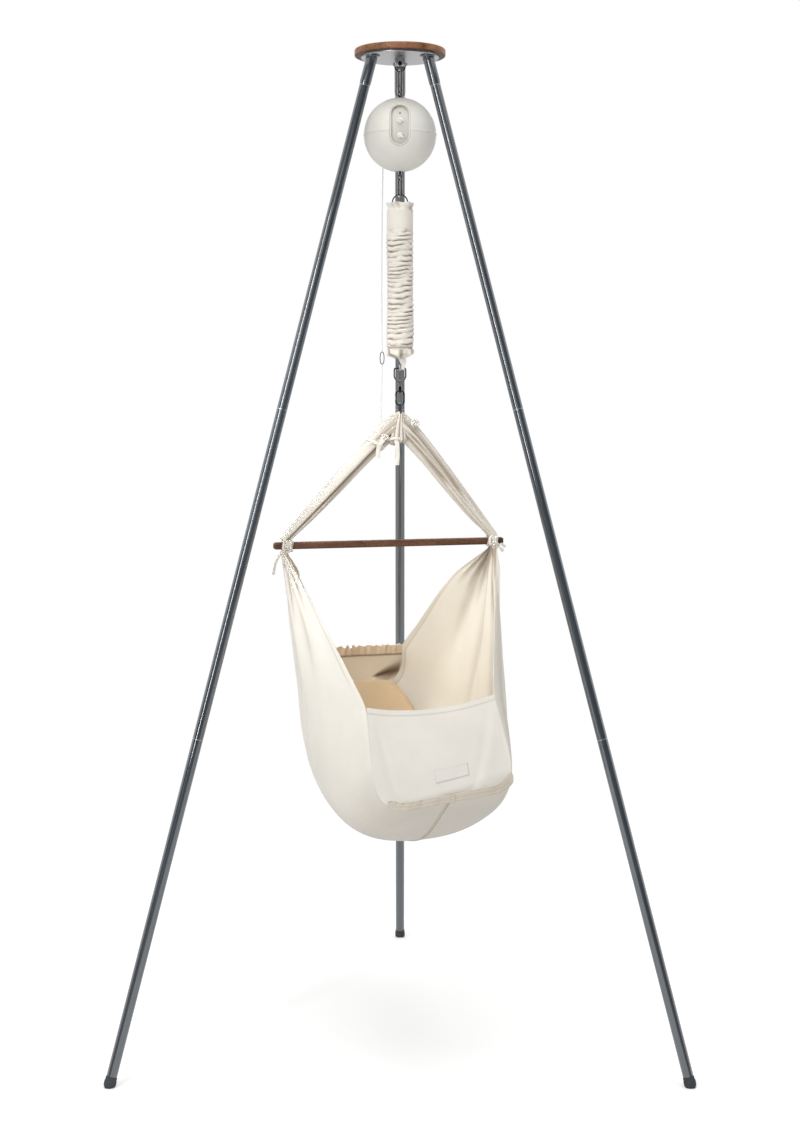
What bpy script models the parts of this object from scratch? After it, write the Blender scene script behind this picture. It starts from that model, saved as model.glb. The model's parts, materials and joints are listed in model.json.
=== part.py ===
# Baby spring hammock on a tripod stand: a motor ball hangs from the top plate, a spring in a cloth
# cover hangs from the ball, and a cotton sling with a spreader bar and a mattress hangs from the spring.
# Metres, +Z up, +X to the right, -Y towards the viewer. The origin is the floor point at the middle of
# the feet's box.

import math

import bmesh
import bpy
import numpy as np
from mathutils import Matrix, Vector

# Clearances
GAP = 0.0003
SEAM_GAP = 0.0004

# Tripod stand
PLATE_Z = 1.970
FOOT_CIRCLE = 0.638
TOP_CIRCLE = 0.0627
LEG_AZIMUTHS = {"left": 210.0, "right": 330.0, "rear": 90.0}
TUBE_RADIUS = 0.0102
TUBE_WALL = 0.0015
SECTION_LENGTH = 0.656
SPIGOT_LENGTH = 0.040
SOCKET_RADIUS = 0.0112
SOCKET_LENGTH = 0.062
SOCKET_SOLID = 0.016
SOCKET_LIP_RADIUS = 0.0150
SOCKET_LIP_HEIGHT = 0.0025
FOOT_RADIUS = 0.0118
FOOT_HEIGHT = 0.013
FOOT_COLLAR_RADIUS = 0.0109
FOOT_COLLAR_HEIGHT = 0.007
FOOT_PLUG_LENGTH = 0.025
FOOT_ROUND = 0.004
AXIS_Y = -0.1238

# Top of the stand
PLATE_RADIUS = 0.0770
PLATE_THICKNESS = 0.0030
DISC_RADIUS = 0.0900
DISC_THICKNESS = 0.0135
DISC_ROUND = 0.0030
BRACKET_WIDTH = 0.0190
BRACKET_SLOT = 0.0090
BRACKET_LUG = 0.0028
BRACKET_BASE = 0.0030
BRACKET_DROP = 0.0165
PIN_RADIUS = 0.0025
PIN_HEAD_RADIUS = 0.0046
PIN_HEAD_LENGTH = 0.0024
PIN_DROP = 0.0104
SCREW_RADIUS = 0.0040

# Links between the bracket and the hammock
LINK_YAW = 25.0
RING_RADIUS = 0.0100
RING_WIRE = 0.0016
CARABINER_WIRE = 0.0020
CARABINER_BEND = 0.0080
GATE_WIRE = 0.0016
GATE_HINGE_GAP = 0.0011
TOP_CARABINER_LENGTH = 0.046
LOWER_CARABINER_LENGTH = 0.036
SNAP_HOOK_LENGTH = 0.0300
SNAP_HOOK_BEND = 0.0080
GATE_SHARE = 0.52
EYE_RADIUS = 0.0045
EYE_WIRE = 0.0015
EYE_STEM_RADIUS = 0.0026
EYE_COLLAR_RADIUS = 0.0080
EYE_COLLAR_HEIGHT = 0.0012
SPLIT_RING_RADIUS = 0.0150
SPLIT_RING_WIRE = 0.0014
D_RING_WIRE = 0.0016
D_RING_HALF_WIDTH = 0.0115
D_RING_HEIGHT = 0.0280
D_RING_CORNER = 0.0030
SWIVEL_STEM_RADIUS = 0.0018
SWIVEL_HEAD_RADIUS = 0.0030
SWIVEL_HEAD_HEIGHT = 0.0016
SWIVEL_HEAD_DROP = 0.0011
SWIVEL_COLLAR_RADIUS = 0.0040
SWIVEL_COLLAR_HEIGHT = 0.0080
APEX_LINK_WIRE = 0.0020
APEX_LINK_BEND = 0.0062
APEX_LINK_LENGTH = 0.0240

# Motor ball
BALL_RADIUS = 0.0718
BALL_WALL = 0.0026
SEAM_BEAD = 0.0005
SEAM_BEAD_HEIGHT = 0.0016
PANEL_RISE = 0.0120
PANEL_HALF_WIDTH = 0.0200
PANEL_HALF_LENGTH = 0.0410
PANEL_RIM = 0.0022
PANEL_RIM_PROUD = 0.0010
PANEL_RECESS = 0.0055
PANEL_FLOOR = 0.0022
KNOB_RADIUS = 0.0058
KNOB_HEIGHT = 0.0085
KNOB_SHAFT_RADIUS = 0.0015
KNOB_SHAFT_LENGTH = 0.0060
KNOB_ELEVATIONS = {"speed_knob": 15.6, "timer_knob": -8.3}
LENS_ELEVATION = 30.8
LENS_RADIUS = 0.0017
INLET_ELEVATION = -24.0
INLET_RADIUS = 0.0050
INLET_BORE = 0.0024
INLET_FLANGE_RADIUS = 0.0068
INLET_FLANGE_HEIGHT = 0.0014
INLET_LENGTH = 0.0140
CHASSIS_HALF_WIDTH = 0.0160
CHASSIS_SHEET = 0.0030
CHASSIS_HALF_HEIGHT = 0.0500
CHASSIS_FRONT = 0.0100
CHASSIS_BACK = 0.0210
DRUM_RADIUS = 0.0100
DRUM_HALF_WIDTH = 0.0045
DRUM_RISE = 0.0100
MOTOR_RADIUS = 0.0160
MOTOR_SHAFT_RADIUS = 0.0030
STRAP_THICKNESS = 0.0010
STRAP_WIDTH = 0.0070
ROD_RADIUS = 0.0030
ROD_TOP_DROP = 0.0280
LOWER_EYE_DROP = 0.0118
LOWER_HOLE_RADIUS = 0.0085
BOARD_SIZE = (0.030, 0.0016, 0.060)

# Spring and its cloth cover
SPRING_WIRE = 0.00175
SPRING_RADIUS = 0.0160
SPRING_TURNS = 10
SPRING_POINTS_PER_TURN = 8
SPRING_HOOK_RADIUS = 0.0052
SPRING_DROP = 0.3200
SPRING_LEAD = 0.0360
COVER_RADIUS = 0.0268
COVER_WALL = 0.0020
COVER_ABOVE_SPRING = 0.0102
COVER_SHORT_OF_SPRING = 0.0242
COVER_SMOOTH = 0.0560
COVER_GATHERS = 17
COVER_GATHER_DEPTH = 0.0016
COVER_HEM_RADIUS = 0.0180
COVER_NECK_RADIUS = 0.0140
COVER_NECK_RISE = 0.0140
COVER_SHOULDER = 0.0110
LOOP_SHEET = 0.0012

# Hammock
HAMMOCK_X = -0.0195
HAMMOCK_YAW = 17.0
BAR_Z = 1.0105
BAR_HALF_LENGTH = 0.2420
BAR_HALF_SIDE = 0.0072
BAR_CORNER = 0.0035
TIE_FROM_END = 0.0200
TIE_RADIUS = 0.0103
TIE_WIRE = 0.0011
TIE_BAND_HALF_WIDTH = 0.0060
BAND_HALF_WIDTH = 0.0235
BAND_HALF_DEPTH = 0.0120
BAND_END_HALF = 0.0080
BAND_NECK_HALF_HEIGHT = 0.0040
BAND_NECK_HALF_DEPTH = 0.0024
BAND_BEND = 0.05
BAND_FOLDS = 5
BAND_FOLD_DEPTH = 0.13
BAND_SAG_SHARE = 0.45
CLOTH = 0.0024
TIE_HALF_SPREAD = 0.0120
# Stations from the foot end to the head end: half widths, heights and places of the basket's section
HALF_WIDTHS = (0.131, 0.192, 0.186, 0.158, 0.122)
SHOULDER_HEIGHTS = (0.734, 0.700, 0.690, 0.705, 0.762)
SHOULDER_PLACES = (-0.280, -0.140, 0.000, 0.145, 0.290)
KEEL_HEIGHTS = (0.566, 0.448, 0.428, 0.550, 0.660)
KEEL_PLACES = (-0.385, -0.200, 0.000, 0.160, 0.312)
ROUNDNESS = (6.5, 2.9, 2.3, 2.1, 3.0)
FOOT_FLARE = 0.105
SLING_FOLDS = 5
SLING_FOLD_DEPTH = 0.0050
FOOT_TWIST = 0.0150
FOOT_TWIST_START = -0.080
FOOT_TWIST_TOP = 0.950
FOOT_TWIST_FADE = 0.250
PANEL_SAG = 0.0160
PANEL_BULGE = 0.0080
MATTRESS_HALF_WIDTHS = (0.112, 0.135, 0.135, 0.108, 0.088)
MATTRESS_THICKNESS = 0.0600
MATTRESS_CROWN = 0.0100
MATTRESS_SEAT = -0.0008

# Safety cord
CORD_RADIUS = 0.0010
CORD_BOW = 0.0015
CORD_X = -0.0340
CORD_Y = 0.0300
CORD_END_X = -0.0385
HOOK_ABOVE_HEM = 0.0130
HOOK_HEIGHT = 0.0260
HOOK_HALF_WIDTH = 0.0040
HOOK_WIRE = 0.0009
CORD_END_DROP = 0.0156
CORD_RING_RADIUS = 0.0050
CORD_RING_WIRE = 0.0012

# Colours: red, green, blue, roughness, metallic
WALNUT = ((0.150, 0.062, 0.035), 0.45, 0.0)
SLATE = ((0.070, 0.080, 0.095), 0.35, 0.2)
STEEL = ((0.620, 0.620, 0.620), 0.30, 1.0)
CHROME = ((0.700, 0.700, 0.710), 0.15, 1.0)
DARK_STEEL = ((0.120, 0.120, 0.120), 0.30, 1.0)
RUBBER = ((0.050, 0.052, 0.055), 0.80, 0.0)
SHELL_WHITE = ((0.720, 0.710, 0.660), 0.50, 0.0)
COTTON = ((0.860, 0.820, 0.730), 0.90, 0.0)
MATTRESS_COTTON = ((0.750, 0.620, 0.450), 0.90, 0.0)
CORD_WHITE = ((0.800, 0.800, 0.780), 0.80, 0.0)
CIRCUIT_GREEN = ((0.050, 0.200, 0.080), 0.50, 0.0)
BLACK = ((0.020, 0.020, 0.020), 0.40, 0.0)


def clear_scene():
    """Remove the objects of the scene that the script starts in."""
    for old in list(bpy.data.objects):
        bpy.data.objects.remove(old, do_unlink=True)


def make_material(name, finish):
    """Return a material with a colour, a roughness and a metallic value."""
    colour, roughness, metallic = finish
    mat = bpy.data.materials.new(name)
    mat.use_nodes = True
    shader = mat.node_tree.nodes["Principled BSDF"]
    shader.inputs["Base Color"].default_value = (*colour, 1.0)
    shader.inputs["Roughness"].default_value = roughness
    shader.inputs["Metallic"].default_value = metallic
    return mat


def finish_object(obj, finish):
    """Link an object to the scene and give it its own material."""
    obj.data.materials.append(make_material(obj.name + "_finish", finish))
    bpy.context.scene.collection.objects.link(obj)
    return obj


def mesh_object(name, vertices, faces, finish, matrix=None):
    """Make a smooth-shaded object from vertices and faces, with its faces pointing out."""
    mesh = bpy.data.meshes.new(name)
    bm = bmesh.new()
    corners = [bm.verts.new(v) for v in vertices]
    for face in faces:
        bm.faces.new([corners[i] for i in face])
    bmesh.ops.recalc_face_normals(bm, faces=bm.faces)
    bm.to_mesh(mesh)
    bm.free()
    mesh.shade_smooth()
    mesh.set_sharp_from_angle(angle=math.radians(40.0))
    obj = bpy.data.objects.new(name, mesh)
    if matrix is not None:
        obj.matrix_world = matrix
    return finish_object(obj, finish)


def turned(name, profile, sides, finish, matrix=None, closed=True):
    """Turn a profile of (radius, height) points about local Z.

    A closed profile makes a ring-like body. An open one starts and ends on the axis.
    """
    vertices = []
    rows = []
    for radius, height in profile:
        if radius <= 1e-9:
            rows.append([len(vertices)] * sides)
            vertices.append((0.0, 0.0, height))
            continue
        row = []
        for k in range(sides):
            angle = 2.0 * math.pi * k / sides
            row.append(len(vertices))
            vertices.append((radius * math.cos(angle), radius * math.sin(angle), height))
        rows.append(row)
    faces = []
    count = len(rows) if closed else len(rows) - 1
    for j in range(count):
        low, high = rows[j], rows[(j + 1) % len(rows)]
        for k in range(sides):
            m = (k + 1) % sides
            corners = [low[k], low[m], high[m], high[k]]
            faces.append(tuple(dict.fromkeys(corners)))
    return mesh_object(name, vertices, faces, finish, matrix)


def prism(name, outline, depth, finish, matrix=None):
    """Extrude an outline in local XY from z = 0 to z = depth."""
    count = len(outline)
    vertices = [(x, y, 0.0) for x, y in outline]
    vertices += [(x, y, depth) for x, y in outline]
    faces = [tuple(reversed(range(count))), tuple(range(count, 2 * count))]
    for k in range(count):
        m = (k + 1) % count
        faces.append((k, m, count + m, count + k))
    return mesh_object(name, vertices, faces, finish, matrix)


def box(name, low, high, finish, matrix=None):
    """Make a box between two corners."""
    outline = [(low[0], low[1]), (high[0], low[1]), (high[0], high[1]), (low[0], high[1])]
    shift = Matrix.Translation((0.0, 0.0, low[2]))
    base = shift if matrix is None else matrix @ shift
    return prism(name, outline, high[2] - low[2], finish, base)


def wire(name, points, radius, finish, cyclic=False, sides_level=1, matrix=None):
    """Make a round wire through points, closed into a loop if cyclic."""
    curve = bpy.data.curves.new(name, "CURVE")
    curve.dimensions = "3D"
    curve.bevel_depth = radius
    curve.bevel_resolution = sides_level
    curve.render_resolution_u = 0
    curve.use_fill_caps = not cyclic
    curve.twist_mode = "MINIMUM"
    spline = curve.splines.new("POLY")
    spline.points.add(len(points) - 1)
    for point, position in zip(spline.points, points):
        point.co = (*position, 1.0)
    spline.use_cyclic_u = cyclic
    spline.use_smooth = True
    obj = bpy.data.objects.new(name, curve)
    if matrix is not None:
        obj.matrix_world = matrix
    return finish_object(obj, finish)


def sheet(name, points, thickness, finish, outward):
    """Make a cloth panel from a grid of points, thickened along its normals on the outward side."""
    grid = np.array(points)
    along = np.gradient(grid, axis=0)
    across = np.gradient(grid, axis=1)
    normal = np.cross(along, across)
    normal /= np.linalg.norm(normal, axis=2, keepdims=True) + 1e-12
    outer = grid + outward * thickness * normal
    rows, columns = grid.shape[:2]
    vertices = [tuple(p) for p in grid.reshape(-1, 3)] + [tuple(p) for p in outer.reshape(-1, 3)]
    shift = rows * columns
    faces = []
    for i in range(rows - 1):
        for j in range(columns - 1):
            a = i * columns + j
            b = a + 1
            c = a + columns + 1
            d = a + columns
            faces.append((a, b, c, d))
            faces.append((a + shift, d + shift, c + shift, b + shift))
    rim = [j for j in range(columns)]
    rim += [i * columns + columns - 1 for i in range(1, rows)]
    rim += [(rows - 1) * columns + j for j in range(columns - 2, -1, -1)]
    rim += [i * columns for i in range(rows - 2, 0, -1)]
    for a, b in zip(rim, rim[1:] + rim[:1]):
        faces.append((a, b, b + shift, a + shift))
    return mesh_object(name, vertices, faces, finish)


def cutter(obj):
    """Show a cutter as wires only, and leave it out of the render."""
    obj.hide_render = True
    obj.display_type = "WIRE"
    return obj


def apply_boolean(obj, tool, operation):
    """Cut, join or intersect an object with another."""
    modifier = obj.modifiers.new(operation.lower(), "BOOLEAN")
    modifier.operation = operation
    modifier.solver = "EXACT"
    modifier.object = tool
    return obj


def circle_points(centre, first, second, radius, count, start=0.0, sweep=360.0):
    """Return points on a circle spanned by two unit vectors about a centre."""
    centre, first, second = Vector(centre), Vector(first), Vector(second)
    steps = count if abs(sweep) >= 360.0 else count - 1
    points = []
    for k in range(count):
        angle = math.radians(start + sweep * k / steps)
        points.append(centre + radius * (math.cos(angle) * first + math.sin(angle) * second))
    return points


def on_axis(height, x=0.0, y=0.0):
    """Return a point at a height, measured across from the tripod's upright axis."""
    return Vector((x, AXIS_Y + y, height))


def upright_frame(height, yaw=0.0):
    """Return a frame on the tripod's axis at a height, turned about the vertical."""
    return Matrix.Translation(on_axis(height)) @ Matrix.Rotation(math.radians(yaw), 4, "Z")


# Heights of the chain, each worked out from the link above it
PIN_Z = PLATE_Z - PIN_DROP
RING_Z = PIN_Z + PIN_RADIUS + GAP + RING_WIRE - RING_RADIUS
TOP_CARABINER_Z = RING_Z - RING_RADIUS + RING_WIRE + GAP + CARABINER_WIRE
BALL_EYE_Z = TOP_CARABINER_Z - TOP_CARABINER_LENGTH + CARABINER_WIRE + GAP + EYE_WIRE - EYE_RADIUS
BALL_TOP_Z = BALL_EYE_Z - EYE_RADIUS - EYE_WIRE - EYE_COLLAR_HEIGHT - GAP
BALL_Z = BALL_TOP_Z - BALL_RADIUS
LOWER_EYE_Z = BALL_Z - BALL_RADIUS - LOWER_EYE_DROP
LOWER_CARABINER_Z = LOWER_EYE_Z - EYE_RADIUS + EYE_WIRE + GAP + CARABINER_WIRE
SPLIT_RING_Z = (LOWER_CARABINER_Z - LOWER_CARABINER_LENGTH + CARABINER_WIRE + GAP
                + SPLIT_RING_WIRE - SPLIT_RING_RADIUS)
SPRING_TOP_Z = SPLIT_RING_Z - SPLIT_RING_RADIUS + SPLIT_RING_WIRE + GAP + SPRING_WIRE
SPRING_BOTTOM_Z = SPRING_TOP_Z - SPRING_DROP
COVER_TOP_Z = SPRING_TOP_Z + COVER_ABOVE_SPRING
COVER_BOTTOM_Z = SPRING_BOTTOM_Z + COVER_SHORT_OF_SPRING
HOOK_TOP_Z = COVER_BOTTOM_Z + HOOK_ABOVE_HEM
D_RING_TOP_Z = SPRING_BOTTOM_Z + SPRING_WIRE + GAP + D_RING_WIRE
D_RING_BOTTOM_Z = D_RING_TOP_Z - D_RING_HEIGHT
SWIVEL_EYE_Z = D_RING_BOTTOM_Z + D_RING_WIRE + GAP + EYE_WIRE - EYE_RADIUS
SWIVEL_COLLAR_Z = SWIVEL_EYE_Z - EYE_RADIUS - EYE_WIRE - 0.0010
SNAP_HOOK_Z = SWIVEL_COLLAR_Z - SWIVEL_COLLAR_HEIGHT
SNAP_HOOK_BOTTOM_Z = SNAP_HOOK_Z - SNAP_HOOK_LENGTH
APEX_LINK_TOP_Z = SNAP_HOOK_BOTTOM_Z + CARABINER_WIRE + GAP + APEX_LINK_WIRE
APEX_Z = APEX_LINK_TOP_Z - APEX_LINK_LENGTH
CORD_END_Z = APEX_Z - CORD_END_DROP


def leg_direction(side):
    """Return a leg's outward direction on the floor."""
    angle = math.radians(LEG_AZIMUTHS[side])
    return Vector((math.cos(angle), math.sin(angle), 0.0))


def leg_frame(side, distance):
    """Return a frame on a leg's axis, at a distance down from the plate, with local Z up the leg."""
    outward = leg_direction(side)
    top = on_axis(PLATE_Z) + outward * TOP_CIRCLE
    floor = on_axis(0.0) + outward * FOOT_CIRCLE
    up = (top - floor).normalized()
    across = Vector((-outward.y, outward.x, 0.0))
    inward = up.cross(across)
    basis = Matrix((across, inward, up)).transposed().to_4x4()
    return Matrix.Translation(top - up * distance) @ basis


def leg_length():
    """Return a leg's length from the plate to the floor, along its axis."""
    return math.hypot(FOOT_CIRCLE - TOP_CIRCLE, PLATE_Z)


def trim_below(obj, height, keep_above):
    """Cut an object's mesh flat at a world height and close the cut."""
    bm = bmesh.new()
    bm.from_mesh(obj.data)
    bm.transform(obj.matrix_world)
    cut = bmesh.ops.bisect_plane(
        bm, geom=bm.verts[:] + bm.edges[:] + bm.faces[:], dist=1e-7,
        plane_co=(0.0, 0.0, height), plane_no=(0.0, 0.0, 1.0),
        clear_inner=keep_above, clear_outer=not keep_above)
    edges = [e for e in cut["geom_cut"] if isinstance(e, bmesh.types.BMEdge)]
    bmesh.ops.holes_fill(bm, edges=edges, sides=0)
    bmesh.ops.recalc_face_normals(bm, faces=bm.faces)
    bm.transform(obj.matrix_world.inverted())
    bm.to_mesh(obj.data)
    bm.free()
    return obj


def make_leg(side):
    """Make a leg: a socket under the plate, three plugged tubes and a foot."""
    bore = TUBE_RADIUS - TUBE_WALL
    spigot = bore - GAP
    spigot_bore = spigot - TUBE_WALL

    # The socket starts above the plate's underside, is cut flat there and gets a lip
    overrun = 0.010
    profile = [
        (0.0, overrun),
        (SOCKET_RADIUS, overrun),
        (SOCKET_RADIUS, -SOCKET_LENGTH + 0.006),
        (TUBE_RADIUS, -SOCKET_LENGTH),
        (bore, -SOCKET_LENGTH),
        (bore, -SOCKET_SOLID),
        (0.0, -SOCKET_SOLID),
    ]
    socket = turned("leg_socket_" + side, profile, 16, SLATE, leg_frame(side, 0.0), closed=False)
    trim_below(socket, PLATE_Z - GAP, keep_above=False)
    lip_centre = on_axis(PLATE_Z - GAP - SOCKET_LIP_HEIGHT) + leg_direction(side) * TOP_CIRCLE
    lip = cutter(turned(
        "socket_lip_" + side,
        [(0.0, 0.0), (SOCKET_LIP_RADIUS, 0.0), (SOCKET_LIP_RADIUS, SOCKET_LIP_HEIGHT),
         (0.0, SOCKET_LIP_HEIGHT)],
        24, SLATE, Matrix.Translation(lip_centre), closed=False))
    apply_boolean(socket, lip, "UNION")

    names = ["upper_tube_", "middle_tube_", "lower_tube_"]
    for index, stem in enumerate(names):
        top = SOCKET_LENGTH + index * SECTION_LENGTH + GAP
        bottom = SOCKET_LENGTH + (index + 1) * SECTION_LENGTH
        if index == 2:
            bottom = leg_length() - FOOT_HEIGHT - FOOT_COLLAR_HEIGHT - GAP
        length = bottom - top
        tube_profile = [
            (TUBE_RADIUS, 0.0),
            (TUBE_RADIUS, length),
            (spigot, length),
            (spigot, length + SPIGOT_LENGTH),
            (spigot_bore, length + SPIGOT_LENGTH),
            (spigot_bore, length - SPIGOT_LENGTH),
            (bore, length - SPIGOT_LENGTH),
            (bore, 0.0),
        ]
        turned(stem + side, tube_profile, 14, SLATE, leg_frame(side, bottom))

    foot_profile = [
        (0.0, -0.006),
        (FOOT_RADIUS - FOOT_ROUND, -0.006),
        (FOOT_RADIUS - 0.3 * FOOT_ROUND, 0.3 * FOOT_ROUND),
        (FOOT_RADIUS, FOOT_ROUND + 0.001),
        (FOOT_RADIUS, FOOT_HEIGHT - 0.001),
        (FOOT_RADIUS - 0.001, FOOT_HEIGHT),
        (FOOT_COLLAR_RADIUS, FOOT_HEIGHT),
        (FOOT_COLLAR_RADIUS, FOOT_HEIGHT + FOOT_COLLAR_HEIGHT),
        (spigot, FOOT_HEIGHT + FOOT_COLLAR_HEIGHT),
        (spigot, FOOT_HEIGHT + FOOT_COLLAR_HEIGHT + FOOT_PLUG_LENGTH),
        (0.0, FOOT_HEIGHT + FOOT_COLLAR_HEIGHT + FOOT_PLUG_LENGTH),
    ]
    foot = turned("foot_" + side, foot_profile, 16, RUBBER, leg_frame(side, leg_length()), closed=False)
    trim_below(foot, 0.0, keep_above=True)


def make_top():
    """Make the walnut disc, the steel plate, the bracket under it and the bracket's pin."""
    hole = SCREW_RADIUS + GAP
    turned("top_plate", [(hole, 0.0), (PLATE_RADIUS - 0.0006, 0.0), (PLATE_RADIUS, 0.0006),
                         (PLATE_RADIUS, PLATE_THICKNESS), (hole, PLATE_THICKNESS)],
           40, STEEL, upright_frame(PLATE_Z))
    under = PLATE_Z + PLATE_THICKNESS + GAP
    pocket = 0.0080
    pocket_depth = 0.0070
    turned("wood_disc", [(0.0, pocket_depth), (pocket, pocket_depth), (pocket, 0.0),
                         (DISC_RADIUS - DISC_ROUND, 0.0), (DISC_RADIUS - 0.3 * DISC_ROUND, 0.3 * DISC_ROUND),
                         (DISC_RADIUS, DISC_ROUND), (DISC_RADIUS, DISC_THICKNESS - DISC_ROUND),
                         (DISC_RADIUS - 0.3 * DISC_ROUND, DISC_THICKNESS - 0.3 * DISC_ROUND),
                         (DISC_RADIUS - DISC_ROUND, DISC_THICKNESS), (0.0, DISC_THICKNESS)],
           40, WALNUT, upright_frame(under), closed=False)

    # The bracket is a U of flat bar with its slot across Y, hung from a screw through the plate
    half = BRACKET_SLOT / 2.0
    outer = half + BRACKET_LUG
    top = -GAP
    base = top - BRACKET_BASE
    low = -BRACKET_DROP
    outline = [(-outer, low), (-half, low), (-half, base), (half, base), (half, low), (outer, low),
               (outer, top), (-outer, top)]
    side_view = Matrix.Rotation(math.radians(90.0), 4, "Z") @ Matrix.Rotation(math.radians(90.0), 4, "X")
    shift = Matrix.Translation((0.0, 0.0, -BRACKET_WIDTH / 2.0))
    bracket = prism("hanging_bracket", outline, BRACKET_WIDTH, CHROME,
                    upright_frame(PLATE_Z) @ side_view @ shift)
    screw = cutter(turned("bracket_screw", [(0.0, base + 0.001), (SCREW_RADIUS, base + 0.001),
                                            (SCREW_RADIUS, PLATE_THICKNESS + 0.006),
                                            (0.0, PLATE_THICKNESS + 0.006)],
                          16, CHROME, upright_frame(PLATE_Z), closed=False))
    apply_boolean(bracket, screw, "UNION")
    along_y = Matrix.Rotation(math.radians(-90.0), 4, "X")
    pin_hole = cutter(turned("pin_hole", [(0.0, -0.02), (PIN_RADIUS + GAP, -0.02),
                                          (PIN_RADIUS + GAP, 0.02), (0.0, 0.02)],
                             16, CHROME, upright_frame(PIN_Z) @ along_y, closed=False))
    apply_boolean(bracket, pin_hole, "DIFFERENCE")
    seat = outer + GAP
    turned("bracket_pin", [(0.0, -seat - PIN_HEAD_LENGTH), (PIN_HEAD_RADIUS, -seat - PIN_HEAD_LENGTH),
                           (PIN_HEAD_RADIUS, -seat), (PIN_RADIUS, -seat), (PIN_RADIUS, seat),
                           (PIN_HEAD_RADIUS, seat), (PIN_HEAD_RADIUS, seat + PIN_HEAD_LENGTH),
                           (0.0, seat + PIN_HEAD_LENGTH)],
           12, CHROME, upright_frame(PIN_Z) @ along_y, closed=False)


def carabiner(name, gate_name, top_z, length, bend, yaw, gate_side, finish):
    """Make a spring-gate carabiner in an upright plane, with its gate on one long side.

    The body's wire runs from the gate's hinge down round the lower bend, up the back and over the top
    bend to the nose. The gate closes the side that is left open.
    """
    frame = upright_frame(top_z, yaw)
    reach = length - 2.0 * bend
    middle = -length / 2.0
    opening = reach * GATE_SHARE
    hinge_z = middle - opening / 2.0
    nose_z = middle + opening / 2.0
    side = Vector((gate_side, 0.0, 0.0))
    up = Vector((0.0, 0.0, 1.0))
    points = [side * bend + up * hinge_z]
    points += circle_points(up * (-length + bend), side, -up, bend, 9, 0.0, 180.0)
    points += circle_points(up * -bend, -side, up, bend, 9, 0.0, 180.0)
    points.append(side * bend + up * nose_z)
    body = wire(name, points, CARABINER_WIRE, finish, matrix=frame)
    pivot = Matrix.Translation(side * bend + up * (hinge_z + GATE_HINGE_GAP))
    gate_points = [Vector((0.0, 0.0, 0.0)), up * (opening - GATE_HINGE_GAP - GAP)]
    gate = wire(gate_name, gate_points, GATE_WIRE, finish, matrix=frame @ pivot)
    return body, gate


def eye_with_stem(name, centre_z, yaw, stem_profile, finish):
    """Make a ring-shaped eye in an upright plane with a turned stem joined to it."""
    points = circle_points((0, 0, 0), (1, 0, 0), (0, 0, 1), EYE_RADIUS, 12)
    eye = wire(name, points, EYE_WIRE, finish, cyclic=True, matrix=upright_frame(centre_z, yaw))
    stem = cutter(turned(name + "_stem", stem_profile, 12, finish, upright_frame(0.0), closed=False))
    return join_wire(eye, stem)


def join_wire(obj, tool):
    """Turn a wire into a mesh and join a tool to it."""
    depsgraph = bpy.context.evaluated_depsgraph_get()
    mesh = bpy.data.meshes.new_from_object(obj.evaluated_get(depsgraph))
    mesh.name = obj.name
    solid = bpy.data.objects.new(obj.name + "_solid", mesh)
    solid.matrix_world = obj.matrix_world
    name = obj.name
    bpy.data.objects.remove(obj, do_unlink=True)
    solid.name = name
    bpy.context.scene.collection.objects.link(solid)
    return apply_boolean(solid, tool, "UNION")


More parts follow.
